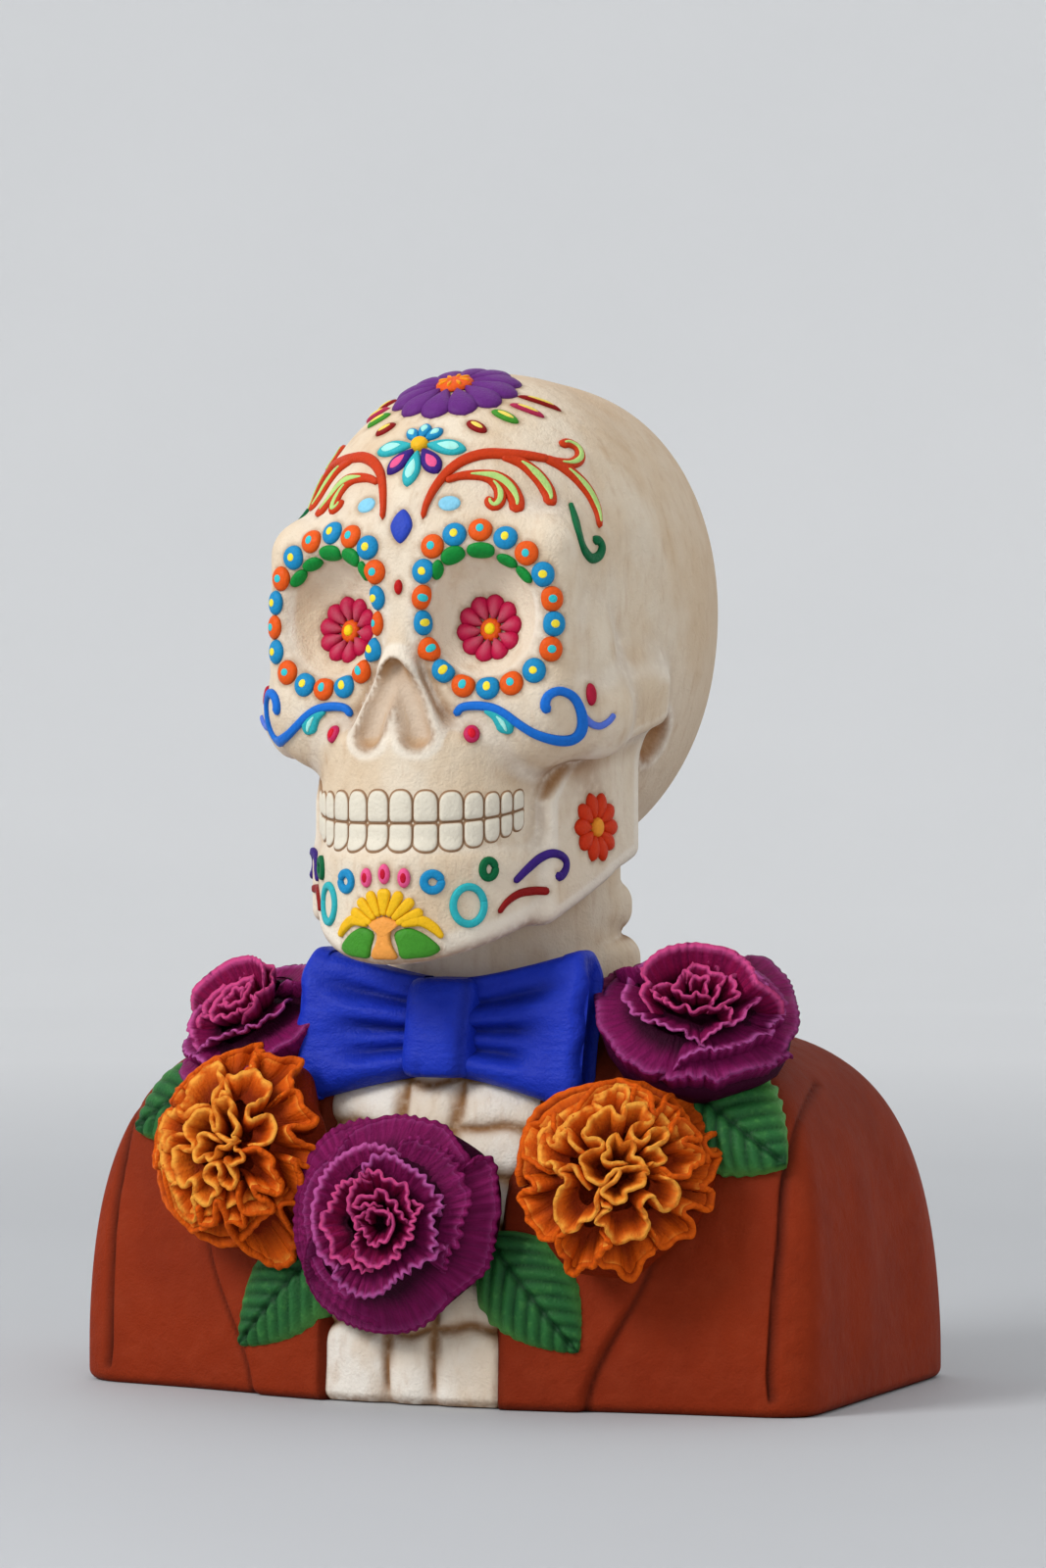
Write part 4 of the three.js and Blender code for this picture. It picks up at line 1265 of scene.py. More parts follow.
def jacket():
    """The jacket with its lapels, sleeve seams and soft sleeve folds."""
    open_run, seam_run = run_at(OPENING), run_at(SEAM_X)
    places = (
        np.linspace(0, open_run - 3, 6),
        np.linspace(open_run + 1.4, SIDE_RUN, 116),
        SIDE_RUN + (BACK_RUN - SIDE_RUN) * np.linspace(0, 1, 30)[1:-1],
        [BACK_RUN],
        thickened([open_run], 0.5),
        thickened([seam_run], 0.7),
    )
    runs = np.unique(np.concatenate(places))
    top = (1 - np.linspace(0.75, 0, 26) ** SHOULDER_SQUARENESS) ** (1 / SHOULDER_SQUARENESS)
    top = SHOULDER_HEIGHT * top
    z = np.concatenate([np.linspace(0, 1, 8) ** 2 * 4, np.linspace(4, top[0], 74)[1:], top[1:]])
    grid, tall = np.meshgrid(runs, z)
    wider = run_at(OPENING * opening_share(tall)) - open_run
    run = grid + wider * np.minimum(grid / open_run, smooth(open_run + 40, open_run, grid))
    lapel_run = run_at(LAPEL + LAPEL_SPREAD * smooth(2, 52, tall) + 0.5 * np.sin(tall / 9))
    on_lapel = smooth(0.0, 1.0, grid - open_run) * smooth(-0.6, 3.6, lapel_run - run)
    out = FRONT_RISE * smooth(0, 1, grid - open_run) + (LAPEL_RISE - FRONT_RISE) * on_lapel
    out = out - PANEL_SINK * smooth(0.6, -1.2, grid - open_run)
    past = run - seam_run
    cloth = smooth(6, 30, past) * smooth(BACK_RUN - 40, SIDE_RUN + 40, run)
    lower = smooth(105, 50, tall)
    out = out - (FRONT_RISE + SLEEVE_SLIMNESS) * smooth(2, 14, past)
    folds = 0.8 * np.sin(past / 8.5 + tall * 0.012) + 0.2 * np.sin(past / 4.1 - tall * 0.02)
    out = out + cloth * lower * smooth(0, 22, tall) * folds
    fade = np.clip((SHOULDER_HEIGHT - tall) / 10, 0, 1)
    points = jacket_point(run, tall, out * fade)
    near = distances(points.reshape(-1, 3), sleeve_seam()).reshape(run.shape)
    groove = ridge(near, SEAM_WIDTH)
    points = jacket_point(run, tall, out * fade - SEAM_DEPTH * groove)
    # Painted shade in the sleeve seams, beside the lapels' edges, along the opening and at the
    # foot.
    edge = 0.7 * ridge(run - lapel_run - 0.6, 1.2) * smooth(60, 40, tall)
    edge = edge + 0.5 * ridge(grid - open_run, 1.5) + 0.5 * smooth(3, 0, tall)
    wash = np.clip(groove + edge, 0, 1)
    piece = Piece("jacket")
    piece.pair(points, grid_faces(*run.shape), JACKET, wash=wash)
    foot = jacket_point(np.linspace(0, BACK_RUN, 80), np.zeros(80))
    ring = np.vstack([foot, foot[-2:0:-1] * MIRROR])
    piece.add(ring, fill_strip(len(ring)), JACKET)
    piece.build()


def jacket_paint():
    """Terracotta with brush marks, darker brown towards the top, and painted shade along the seams,
    beside the lapels, along the opening and at the foot.
    """
    paint = Paint("jacket", "8c2f13", 0.6, gloss=0.06)
    paint.veil(paint.noise(30, 0.35, 0.7), 0.5, "782712")
    brush = paint.noise(7, 0.4, 0.8, stretch=(1, 1, 1.2), detail=6)
    paint.veil(brush, 0.22, "9a4024")
    height = paint.tree.nodes.new("ShaderNodeSeparateXYZ")
    paint.feed(height.inputs[0], paint.place)
    # Darker brown towards the top.
    paint.coat(paint.span(height.outputs["Z"], 0.05, 0.112, 0, 0.4), "5a2a1c")
    # Painted shade, almost black, in the seams, beside the lapel edges, along the opening and at
    # the foot.
    paint.veil(paint.field("wash"), 0.9, "2c0d07")
    paint.bump(paint.noise(0.7, 0.3, 0.7), 0.08)
    paint.bump(paint.noise(7, 0.3, 0.7), 0.3)
    return paint.finish()


# The ribs, which show in the jacket's opening as blocks between washed grooves.

RIB_PITCH = 15
RIB_ROWS = 6
RIBS_HALF = 30
RIBS_TOP = 110
FIRST_GROOVE = 22.5
STERNUM = 7.8  # half its width


def ribs():
    """The sheet of ribs, which reaches a little under the jacket on both sides."""
    even = np.linspace(-RIBS_HALF, RIBS_HALF, 46)
    x = np.unique(np.concatenate([even, thickened([-STERNUM, STERNUM], 0.8), [0]]))
    rows = FIRST_GROOVE + RIB_PITCH * np.arange(RIB_ROWS)
    z = np.unique(np.concatenate([np.linspace(0.4, RIBS_TOP, 76), thickened(rows, 0.8)]))
    z = z[z < RIBS_TOP + 1]
    across, tall = np.meshgrid(x, z)
    wave = 0.9 * np.sin(across / 6 + 2) + 0.5 * np.sin(across / 2.3 + tall / 11)
    level = tall + wave - 0.05 * np.abs(across)
    line = np.abs(level[..., None] - rows).min(-1)
    upright = np.abs(np.abs(across) - STERNUM - 0.5 * np.sin(tall / 5 + across))
    groove = np.maximum(ridge(line, 1.3), ridge(upright, 1.4) * smooth(2, 7, tall))
    broad = np.maximum(ridge(line, 3.4), ridge(upright, 3.4))
    run = run_at(np.abs(across) * opening_share(tall))
    out = -1.1 * groove - 0.7 * broad + 0.25 * np.sin(across / 6 + tall / 4)
    edge = smooth(27.4, 29.5, np.abs(across))
    points = jacket_point(run, tall, out + 1.2 * (1 - broad) - 1.2 * edge)
    points[..., 0] *= np.where(across < 0, -1, 1)
    piece = Piece("ribs")
    foot = smooth(3.5, 0.5, tall) * 0.6
    piece.add(
        points,
        grid_faces(*across.shape),
        RIB,
        # Brown wash in the grooves, with painted shade along the sides where the ribs go under the
        # jacket and at the foot.
        crease=np.clip(0.7 * groove + 0.3 * edge + foot, 0, 1),
        shade=0.5 * broad + 0.25 * smooth(24, 29, np.abs(across)),
        stain=0.5 * groove,
    )
    piece.build()


# The bow tie.

BOW_HALF = 48
BOW_END = 50  # its height at the ends
BOW_PINCH = 31  # and beside the knot
BOW_MIDDLE = 114
BOW_SHIFT = 1.8  # to the figure's left, as it was set by hand
BOW_THICK = 19
BOW_LEAN = 0.2
KNOT = (25, 30)
# Each pleat's height at the knot and at the end, and how far along the wing it runs.
PLEATS = ((0.45, 0.62, 0.95), (-0.05, 0.05, 0.8), (-0.42, -0.42, 0.7))
PLEAT_DEPTH = 3.6
WING_TURN = 112  # points round a wing
WING_SQUARENESS = 4
KNOT_ROWS, KNOT_TURN = 40, 80
KNOT_SQUARENESS = 3.2


def bow_place(points):
    """From the bow's own upright plane to its place, leaning back on the chest."""
    points = np.array(points, float)
    chest_front = chest(0, SHOULDER_HEIGHT * 0.8)[0][1]
    points[..., 1] += points[..., 2] * BOW_LEAN + chest_front + BOW_THICK * 0.45
    points[..., 2] += BOW_MIDDLE
    points[..., 0] += BOW_SHIFT
    return points


def bow():
    """Two pleated, puffed wings gathered by a soft knot."""
    piece = Piece("bow")
    t = np.concatenate([np.linspace(0, 0.9, 44), 0.9 + 0.1 * eased(0, 13)[1:]])
    a = np.linspace(0, 2 * np.pi, WING_TURN, endpoint=False)
    share, turn = np.meshgrid(t, a, indexing="ij")
    u, v = np.cos(turn), np.sin(turn)
    square = squared(u, v, WING_SQUARENESS)
    side, high = u * square, v * square
    end = np.sqrt(np.clip(1 - np.clip((share - 0.9) / 0.1, 0, 1) ** 2, 0, 1))
    tall = (BOW_PINCH + (BOW_END - BOW_PINCH) * share**1.25) / 2
    bulges = 0.3 * np.cos(high * 3 * np.pi) * smooth(0.4, 1, share)
    thick = BOW_THICK / 2 * (0.62 + 0.38 * np.sin(np.minimum(share * 1.35, 1) * np.pi / 2))
    x = KNOT[0] * 0.3 + (BOW_HALF - KNOT[0] * 0.3) * share + bulges
    x = x - 1.2 * np.abs(high) ** 6 * (share > 0.8)
    reach = 0.86 + 0.14 * end
    z = high * tall * reach
    y = side * thick * (0.55 + 0.45 * end)
    front = smooth(0.1, -0.5, side)
    groove = np.zeros(share.shape)
    for inner, outer, far in PLEATS:
        middle = inner + (outer - inner) * share
        fade = smooth(far, far * 0.45, share) * (0.35 + 0.65 * smooth(0, 0.15, share))
        groove += ridge(high - middle, 0.07 + 0.1 * share) * fade
    swell = 1.6 * np.cos((high - 0.2) * 2.2 * np.pi) * smooth(1.0, 0.2, share)
    y = y - front * (swell - PLEAT_DEPTH * groove)
    end_face = 0.4 * np.cos(high * 3 * np.pi + 0.5) * smooth(0.88, 1, share)
    # Painted shade in the pleats on the front and where the wings meet the knot.
    wash = np.clip(groove * front + 0.5 * ridge(share, 0.1), 0, 1)
    faces = grid_faces(len(t), len(a), True)
    for wing in (1, -1):
        points = bow_place(np.stack([(x + end_face) * wing, y, z], -1))
        piece.add(points, faces[:, ::wing], BOW, wash=wash)
        piece.add(points[-1], fill_strip(len(a))[:, ::wing], BOW)

    a = np.linspace(0, 2 * np.pi, KNOT_TURN, endpoint=False)
    tall, turn = np.meshgrid(np.linspace(-1, 1, KNOT_ROWS), a, indexing="ij")
    u, v = np.cos(turn), np.sin(turn)
    square = squared(u, v, KNOT_SQUARENESS)
    end = np.sqrt(np.clip(1 - np.abs(tall) ** 5, 0, 1))
    wide = KNOT[0] / 2 * (0.93 + 0.05 * tall**2) * (0.75 + 0.25 * end)
    deep = (BOW_THICK / 2 + 3.2) * (0.7 + 0.3 * end)
    crease = ridge(u - 0.72, 0.08) + 0.6 * ridge(u + 0.3, 0.1) * smooth(-0.2, -0.9, tall)
    x = u * square * wide
    y = v * square * deep + 0.9 * crease * (v < 0)
    points = bow_place(np.stack([x, y, tall * KNOT[1] / 2], -1))
    faces = grid_faces(KNOT_ROWS, KNOT_TURN, True)[:, ::-1]
    # Painted shade in the creases on the knot's front.
    piece.add(points, faces, BOW, wash=0.5 * crease * (v < 0))
    for end in (points[0], points[-1]):
        piece.add(end, fill_strip(KNOT_TURN), BOW)
    piece.build()


def bow_paint():
    """Blue, brushed lighter in streaks, with painted shade in its pleats, where the wings meet the
    knot and in the knot's creases.
    """
    paint = Paint("bow", "1c35b4", 0.45)
    paint.veil(paint.noise(14, 0.35, 0.7), 0.4, "1428a4")
    light = paint.noise(4, 0.5, 0.8, stretch=(2.2, 1, 0.6))
    paint.veil(light, 0.25, "2a48d4")
    # Painted shade, dark blue, in the pleats and creases.
    paint.veil(paint.field("wash"), 0.6, "080f44")
    paint.bump(paint.noise(0.8, 0.3, 0.7), 0.08)
    paint.bump(paint.noise(6, 0.3, 0.7, stretch=(1.5, 1, 0.7)), 0.3)
    return paint.finish()


# Flowers and leaves of the garland.


def both_faces(values):
    """A petal's values on its face, then on its back from the lip down."""
    return np.concatenate([values, values[-2::-BACK_STEP]])


def dome(heights, away):
    """The height of a flower's dome at a distance from its axis."""
    return np.interp(away, *zip(*heights))


def on_chest(x, z, axis, lift):
    """A frame on the chest for a flower that faces along an axis: its turn and its place."""
    at, normal = chest(x, z)
    out = unit(axis)
    return np.stack([*across_and_up(out), out], -1), at + normal * lift


def lips_seen(lips, place, heights):
    """Each petal's lip in its flower's own frame, where the camera sees it on the flower's dome,
    or as far over the dome as it stands proud."""
    turn, at = place
    found = []
    for depth, ripple, proud, *pixels in lips:
        eye, aim = (CAMERA_AT - at) @ turn, rays(curve(pixels, LIP_POINTS)) @ turn
        high = np.full(len(aim), 20.0)
        for _ in range(50):
            spot = eye + aim * ((high - eye[2]) / aim[:, 2])[:, None]
            high = (high + dome(heights, np.hypot(spot[:, 0], spot[:, 1])) + proud) / 2
        found.append((spot, depth, ripple))
    return found + lips_behind(found, math.atan2(-eye[1], -eye[0]), heights)


# Each row's share of a flower's reach, and where its petals lie round the axis.
ROWS_BEHIND = ((0.94, (-0.95, 0, 0.95)), (0.74, (-0.55, 0.5)))
HALF_BEHIND = 0.55  # of the turn that one of its petals spans


def lips_behind(lips, away, heights):
    """Two rows of lips on the side of a flower that is turned from the camera."""
    reach = np.percentile(np.concatenate([np.hypot(*lip[0][:, :2].T) for lip in lips]), 93)
    behind = []
    for share, turns in ROWS_BEHIND:
        for turn in turns:
            t = away + turn + np.linspace(-HALF_BEHIND, HALF_BEHIND, LIP_POINTS)
            r = reach * share * (1 + 0.04 * np.sin(5 * t + 9 * share))
            high = dome(heights, r) - 2
            behind.append((np.stack([r * np.cos(t), r * np.sin(t), high], -1), *lips[-1][1:]))
    return behind


LIP_POINTS = 160
LONG_LIP = 30


def lengthened(lip):
    """A lip with both ends led on, inwards and down behind its neighbours."""
    more = min(1, steps(lip).sum() / LONG_LIP)
    ends = []
    for end, before in ((lip[0], lip[12]), (lip[-1], lip[-13])):
        inwards = -unit(np.append(end[:2], 0.0))
        ends.append(end + more * (2.6 * unit(end - before) + 1.3 * inwards - (0, 0, 1.6)))
    return np.vstack([ends[0], lip, ends[1]])


def softened(line, reach):
    """A line with its waves shorter than about `reach` millimetres taken out."""
    count = max(int(reach / steps(line).mean()), 1)
    window = np.hanning(2 * count + 3)[1:-1]
    start, end = 2 * line[0] - line[count:0:-1], 2 * line[-1] - line[-2 : -2 - count : -1]
    long = np.vstack([start, line, end])
    return np.stack([np.convolve(v, window / window.sum(), "valid") for v in long.T], -1)


PETAL_ROWS = 11
BACK_STEP = 3  # rows of the face to one row of the back
LIP_WAVE = 4.5  # millimetres, waves shorter than this fade out down the petal


def petal(lip, heights, share, depth, dip, ripple, wave, thick, spacing):
    """A petal under its lip: its points and faces, and each point's nearness to the lip,
    share of the way up, and place in the ruffles, where 1 is outward."""
    lip = lengthened(lip)
    length = steps(lip).sum()
    count = max(int(length / spacing), 24)
    lip = curve(lip, count)
    base = softened(lip, min(LIP_WAVE, length / 5))
    v = np.linspace(0, 1, PETAL_ROWS)[:, None, None] ** 0.8
    t = np.linspace(0, 1, count)
    run = t * length
    tuck = 1 - np.abs(2 * t - 1) ** 9
    under = dome(heights, share * np.hypot(base[:, 0], base[:, 1])) - depth
    root = np.column_stack([share * base[:, :2], under])
    outward = unit(base[:, :2])
    beat = 2 * np.pi * run / wave + 2.2 * np.sin(run / 7.3 + length) + 1.3 * np.sin(run / 3.1)
    strong = ripple * (0.65 + 0.35 * np.sin(run / 4.7 + 2 * length)) * tuck
    side = unit(np.gradient(lip[:, :2], axis=0))[:, ::-1] * (1, -1)
    side *= np.sign((side * outward).sum(-1, keepdims=True) + TINY)
    flat = root[:, :2] + (base - root)[:, :2] * v**1.3 + (lip - base)[:, :2] * v**1.1
    flat = flat + side * (strong * np.sin(beat))[:, None] * v
    high = root[:, 2:] + (base - root)[:, 2:] * v + (lip - base)[:, 2:] * v
    high = high - dip * np.sin(np.pi * v)
    high = high + (0.35 * strong * np.cos(beat + 0.6) - 1.8 * (1 - tuck))[:, None] * v**2
    middle = np.concatenate([flat, high], -1)
    up, around = np.gradient(middle, axis=0), np.gradient(middle, axis=1)
    normal = unit(np.cross(around, up))
    rows = np.linspace(0, 1, PETAL_ROWS)
    half = thick / 2 * np.sqrt(np.clip(1 - rows**9, 0, 1))[:, None] * (0.35 + 0.65 * tuck)
    half = (half * (1.3 - 0.3 * rows[:, None]))[..., None]
    points = np.concatenate([middle + normal * half, (middle - normal * half)[-2::-BACK_STEP]])
    waves = ((lip - base)[:, :2] * outward).sum(-1) / 1.6 + min(ripple, 1) * np.sin(beat)
    v = v[..., 0]
    fields = np.broadcast_arrays(v**7, v, 0.5 + 0.5 * np.tanh(waves) * v, run * MM, 0.02 * v)
    return points, grid_faces(*points.shape[:2]), *(both_faces(f) for f in fields)


BED_SHARE = 0.9  # of the way out to the outermost lip
BED_FOOT = 0.7
BED_TURN = 96  # points round it
BED_HEART, BED_RIM = 10.5, 8.5  # how deep it lies under the dome
BED_SECTOR = 0.16  # radians on both sides, within which it looks for the outermost lip


def bed(lips, heights, drop):
    """The closed bud that a flower's petals stand on, low under their lips and sunk at its foot."""
    t = np.arange(BED_TURN) / BED_TURN * 2 * np.pi
    spots = np.vstack([lip[0][:, :2] for lip in lips])
    reach = np.hypot(*spots.T)
    turned = np.arctan2(spots[:, 1], spots[:, 0])
    apart = np.abs((turned[None] - t[:, None] + np.pi) % (2 * np.pi) - np.pi)
    rim = np.where(apart < BED_SECTOR, reach[None], 0).max(1)
    rim = np.maximum(rim, np.median(rim) * 0.85)
    long = np.concatenate([rim[-6:], rim, rim[:6]])
    rim = np.convolve(long, np.hanning(13) / np.hanning(13).sum(), "same")[6:-6] * BED_SHARE
    shares = np.append(np.linspace(0.01, 1, 22), (1.02, 1, BED_FOOT, 0.01))[:, None]
    r = rim * shares
    z = dome(heights, r) - (BED_HEART + (BED_RIM - BED_HEART) * shares)
    z[-4] -= 1.5
    z[-3] -= 4
    z[-2:] = -drop
    points = np.stack([r * np.cos(t), r * np.sin(t), z], -1)
    return points, grid_faces(len(shares), BED_TURN, True)[:, ::-1]


PETAL_FOOT = 0.55  # of the lip's distance from the axis
PETAL_DIP = 1.5
OUTER_PETALS = 24  # millimetres from the axis, from where petals have a wall below their lip
WALL_FOOT = 0.86
WALL_DEPTH = 0.85  # of the flower's drop
WALL_SHINE = 0.25


def bloom(
    name, lips, heights, paint, place, drop, thick, wave, spacing, spin=0, mirror=1, size=1
):
    """A flower of the petals under its lips, turned about its axis by `spin` degrees."""
    piece = Piece(name)
    turn, at = place
    c, s = math.cos(math.radians(spin)), math.sin(math.radians(spin))
    about = np.array(((c, s, 0), (-s, c, 0), (0, 0, 1))) * size

    def placed(points):
        """From the flower's own frame to its place on the bust."""
        return points * (mirror, 1, 1) @ about @ turn.T + at

    for lip, depth, ripple in lips:
        reach = np.hypot(*lip[:, :2].T).mean()
        sides = [(PETAL_FOOT, depth, PETAL_DIP, 1)]
        if reach > OUTER_PETALS:
            sides.append((WALL_FOOT, drop * WALL_DEPTH, -PETAL_DIP, WALL_SHINE))
        for *side, shine in sides:
            points, faces, *fields = petal(lip, heights, *side, ripple, wave, thick, spacing)
            held = dict(zip(("lip", "rise", "wave", "run", "up"), fields))
            held["lip"] = held["lip"] * shine
            piece.add(placed(points), faces[:, ::mirror], paint, heart=smooth(32, 6, reach), **held)
    points, faces = bed(lips, heights, drop)
    # Low rise and wave give the bud the painted shade of the flower's depths.
    piece.add(placed(points), faces[:, ::mirror], paint, heart=0.3, rise=0.3, wave=0.2)
    piece.build()


# The petals of the middle rose from its heart outwards: how deep each is, how strongly it
# ripples and how proud of the dome it stands, then pixels along its lip.
ROSE_LIPS = (
    (6, 0.5, 0, (373, 1244), (373, 1238), (380, 1231), (383, 1236), (392, 1235), (398, 1242),
     (396, 1248)),
    (7, 0.6, 0, (380, 1228), (370, 1229), (359, 1232), (362, 1223), (369, 1219), (380, 1220),
     (384, 1213), (390, 1213), (396, 1222), (403, 1227), (407, 1236), (413, 1244)),
    (7, 0.7, 0, (372, 1236), (361, 1244), (361, 1252), (371, 1258), (373, 1265), (380, 1273),
     (386, 1269), (396, 1266), (398, 1258), (402, 1249), (398, 1239)),
    (7, 0.8, 0, (360, 1246), (354, 1236), (354, 1222), (360, 1207), (370, 1196), (383, 1194),
     (392, 1200), (404, 1205), (416, 1208), (416, 1222), (420, 1237)),
    (7, 1, 0, (360, 1266), (360, 1277), (367, 1288), (383, 1295), (398, 1288), (406, 1283),
     (406, 1274), (418, 1266), (421, 1252), (425, 1239), (432, 1231), (422, 1225)),
    (6, 0.9, 0, (368, 1299), (355, 1291), (337, 1283), (336, 1268), (326, 1252), (326, 1243),
     (336, 1228), (344, 1209), (357, 1203), (366, 1202)),
    (6, 1, 0, (369, 1190), (383, 1178), (401, 1178), (414, 1187), (426, 1194), (435, 1202),
     (442, 1213), (451, 1223), (451, 1232)),
    (6, 0.9, 0, (451, 1232), (442, 1241), (444, 1252), (446, 1266), (442, 1277)),
    (6, 1, 0, (453, 1275), (439, 1288), (430, 1291), (414, 1301), (403, 1308), (390, 1321),
     (370, 1325), (354, 1318), (342, 1309), (339, 1298)),
    (6, 0.7, 0, (338, 1295), (326, 1283), (320, 1268), (317, 1249), (317, 1234), (321, 1216),
     (328, 1199), (340, 1184), (354, 1174), (375, 1166), (398, 1171)),
    (6, 0.9, 0, (413, 1161), (426, 1159), (432, 1164), (445, 1167), (459, 1176), (468, 1191),
     (476, 1207), (482, 1222), (477, 1237), (471, 1252), (470, 1268), (459, 1278), (455, 1295)),
    (5, 0.35, 0, (326, 1203), (334, 1187), (346, 1167), (360, 1151), (386, 1140), (407, 1137),
     (430, 1140), (455, 1148), (467, 1164), (479, 1181)),
    (5, 0.35, 0, (317, 1257), (310, 1277), (311, 1303), (323, 1327), (338, 1341), (357, 1353),
     (386, 1361), (416, 1360), (438, 1350), (461, 1327)),
    (6, 0.45, 0, (481, 1184), (493, 1179), (504, 1183), (508, 1196), (509, 1216), (512, 1234),
     (507, 1252), (504, 1277), (497, 1297), (481, 1311), (462, 1325)),
)
ROSE_HEIGHTS = (
    (0, 25), (3, 26.5), (8, 27.5), (13, 27.5), (20, 25.5), (26.5, 20), (33, 11), (39, 1),
)

# The petals of the shoulder rose in the same way.
SHOULDER_LIPS = (
    (6, 0.2, 0, (704, 1000.5), (707, 995), (711, 994.5), (714.5, 997), (718, 994.5), (723, 995),
     (723, 999), (720, 1002), (721.5, 1006.5), (722, 1009)),
    (7, 0.25, 0, (705, 991), (700.5, 989), (696, 989), (695.5, 993), (691, 998), (690, 1002),
     (684.5, 1006.5), (685.5, 1009), (692, 1009.5), (696.5, 1014), (701, 1015.5),
     (705.5, 1014.5), (711, 1011), (716.5, 1014), (723, 1014.5)),
    (7, 0.25, 0, (701, 988), (704.5, 984.5), (710, 983), (718, 984.5), (723, 986), (725.5, 991),
     (732, 991.5), (738, 993), (740.5, 998), (737, 1002), (733, 1005), (735.5, 1009),
     (732, 1014), (729, 1019), (727, 1023)),
    (7, 0.3, 0.5, (702, 986.5), (706.5, 981), (711, 978), (720, 977), (729, 977), (738, 980),
     (745.5, 983), (751, 988), (753, 992), (748, 994), (746.5, 998), (751.5, 1000),
     (752, 1004.5), (750, 1009), (755, 1012), (755.5, 1015.5), (749, 1018), (742, 1021),
     (735.5, 1024)),
    (7, 0.3, 0, (680, 1001), (673, 1003), (668, 1005), (663, 1009), (666.5, 1012),
     (667, 1016.5), (671, 1019), (676.5, 1016.5), (677, 1021), (682, 1023), (688, 1028),
     (693, 1026.5), (698, 1024), (702, 1026.5), (705, 1031.5), (710, 1031.5), (714.5, 1028),
     (720, 1026.5), (726.5, 1027), (731.5, 1029), (738, 1025.5), (743, 1027), (748, 1028),
     (747, 1034)),
    (8, 0.3, 2.5, (657, 1021), (653, 1016.5), (652, 1011), (655.5, 1004.5), (660, 1000),
     (655.5, 995.5), (653, 991), (655, 986.5), (662, 982), (670, 978), (673, 973), (680, 970),
     (689, 970), (696.5, 968), (702, 968), (709, 969.5), (715.5, 971), (722, 974), (729, 975.5)),
    (8, 0.35, 1, (753, 989), (760, 990.5), (764.5, 994.5), (769, 996.5), (773, 1001),
     (776.5, 1005.5), (773, 1010), (776.5, 1015.5), (776.5, 1021), (771, 1023), (764.5, 1028),
     (762, 1034.5), (759, 1039), (752, 1043), (748, 1045.5), (742, 1043), (736.5, 1046.5),
     (733, 1051), (728, 1053), (723, 1056.5), (718, 1061)),
    (7, 0.35, 0, (638, 1003), (636.5, 1009), (633, 1013), (634.5, 1021), (640, 1023),
     (642, 1030), (644.5, 1035.5), (650, 1034), (654.5, 1036), (654.5, 1041), (659, 1043),
     (664.5, 1041), (669, 1042), (671, 1045.5), (678, 1045.5), (681, 1050), (688, 1051.5),
     (696.5, 1051), (700.5, 1055), (700, 1059.5), (704.5, 1060), (708, 1059), (712, 1063),
     (718, 1067)),
    (7, 0.4, 0, (691, 1086), (694.5, 1080.5), (700, 1079), (705.5, 1075.5), (712, 1073),
     (719, 1072), (724.5, 1070.5), (730, 1073), (736.5, 1070.5), (743, 1070.5), (750, 1068),
     (758, 1066), (764.5, 1064.5), (769, 1061), (774.5, 1056.5), (781, 1055.5), (789, 1056.5),
     (790, 1050), (788, 1045.5), (793, 1044.5), (792, 1041.5), (799, 1040.5), (798, 1036.5),
     (802, 1034.5), (801, 1028), (796.5, 1025.5)),
    (7, 0.35, 0, (679.5, 1099), (684.5, 1103), (690, 1099.5), (696.5, 1102), (700, 1098),
     (706.5, 1099.5), (712, 1103), (718, 1098), (723, 1100), (730, 1104.5), (736.5, 1103),
     (744.5, 1098), (751, 1096.5), (760, 1093), (770, 1091), (780, 1089), (791, 1087),
     (794.5, 1081), (801, 1079), (809, 1075.5)),
    (9, 0.3, 6, (656.5, 982), (662, 976.5), (671, 970), (682, 965), (698, 962), (711, 961.5),
     (722, 963), (739, 966), (748, 969), (755.5, 974), (762, 979), (769, 988), (773, 999),
     (782, 1005.5), (793, 1013), (800, 1021)),
    (7, 0.3, 1.5, (759, 975), (766.5, 974.5), (773, 975), (782, 976.5), (789, 982),
     (795.5, 989), (803, 996.5), (808.5, 1007), (813, 1023.5), (815.5, 1035.5), (814.5, 1050),
     (807, 1059.5), (803.5, 1068)),
    (7, 0.3, 1, (656.5, 982), (649, 984.5), (638, 986), (630, 989), (621, 994.5), (613, 1001),
     (606.5, 1008), (606.5, 1016.5), (608, 1028), (608, 1039), (610, 1048), (616.5, 1055.5),
     (622, 1063), (626.5, 1071), (632, 1078), (638, 1082), (646.5, 1085.5), (653, 1091),
     (662, 1094.5), (671, 1092)),
)
SHOULDER_HEIGHTS = (
    (0, 16), (5, 17), (12, 16.5), (18, 14.5), (24, 10), (30, 3), (33, -2), (38, -10),
)


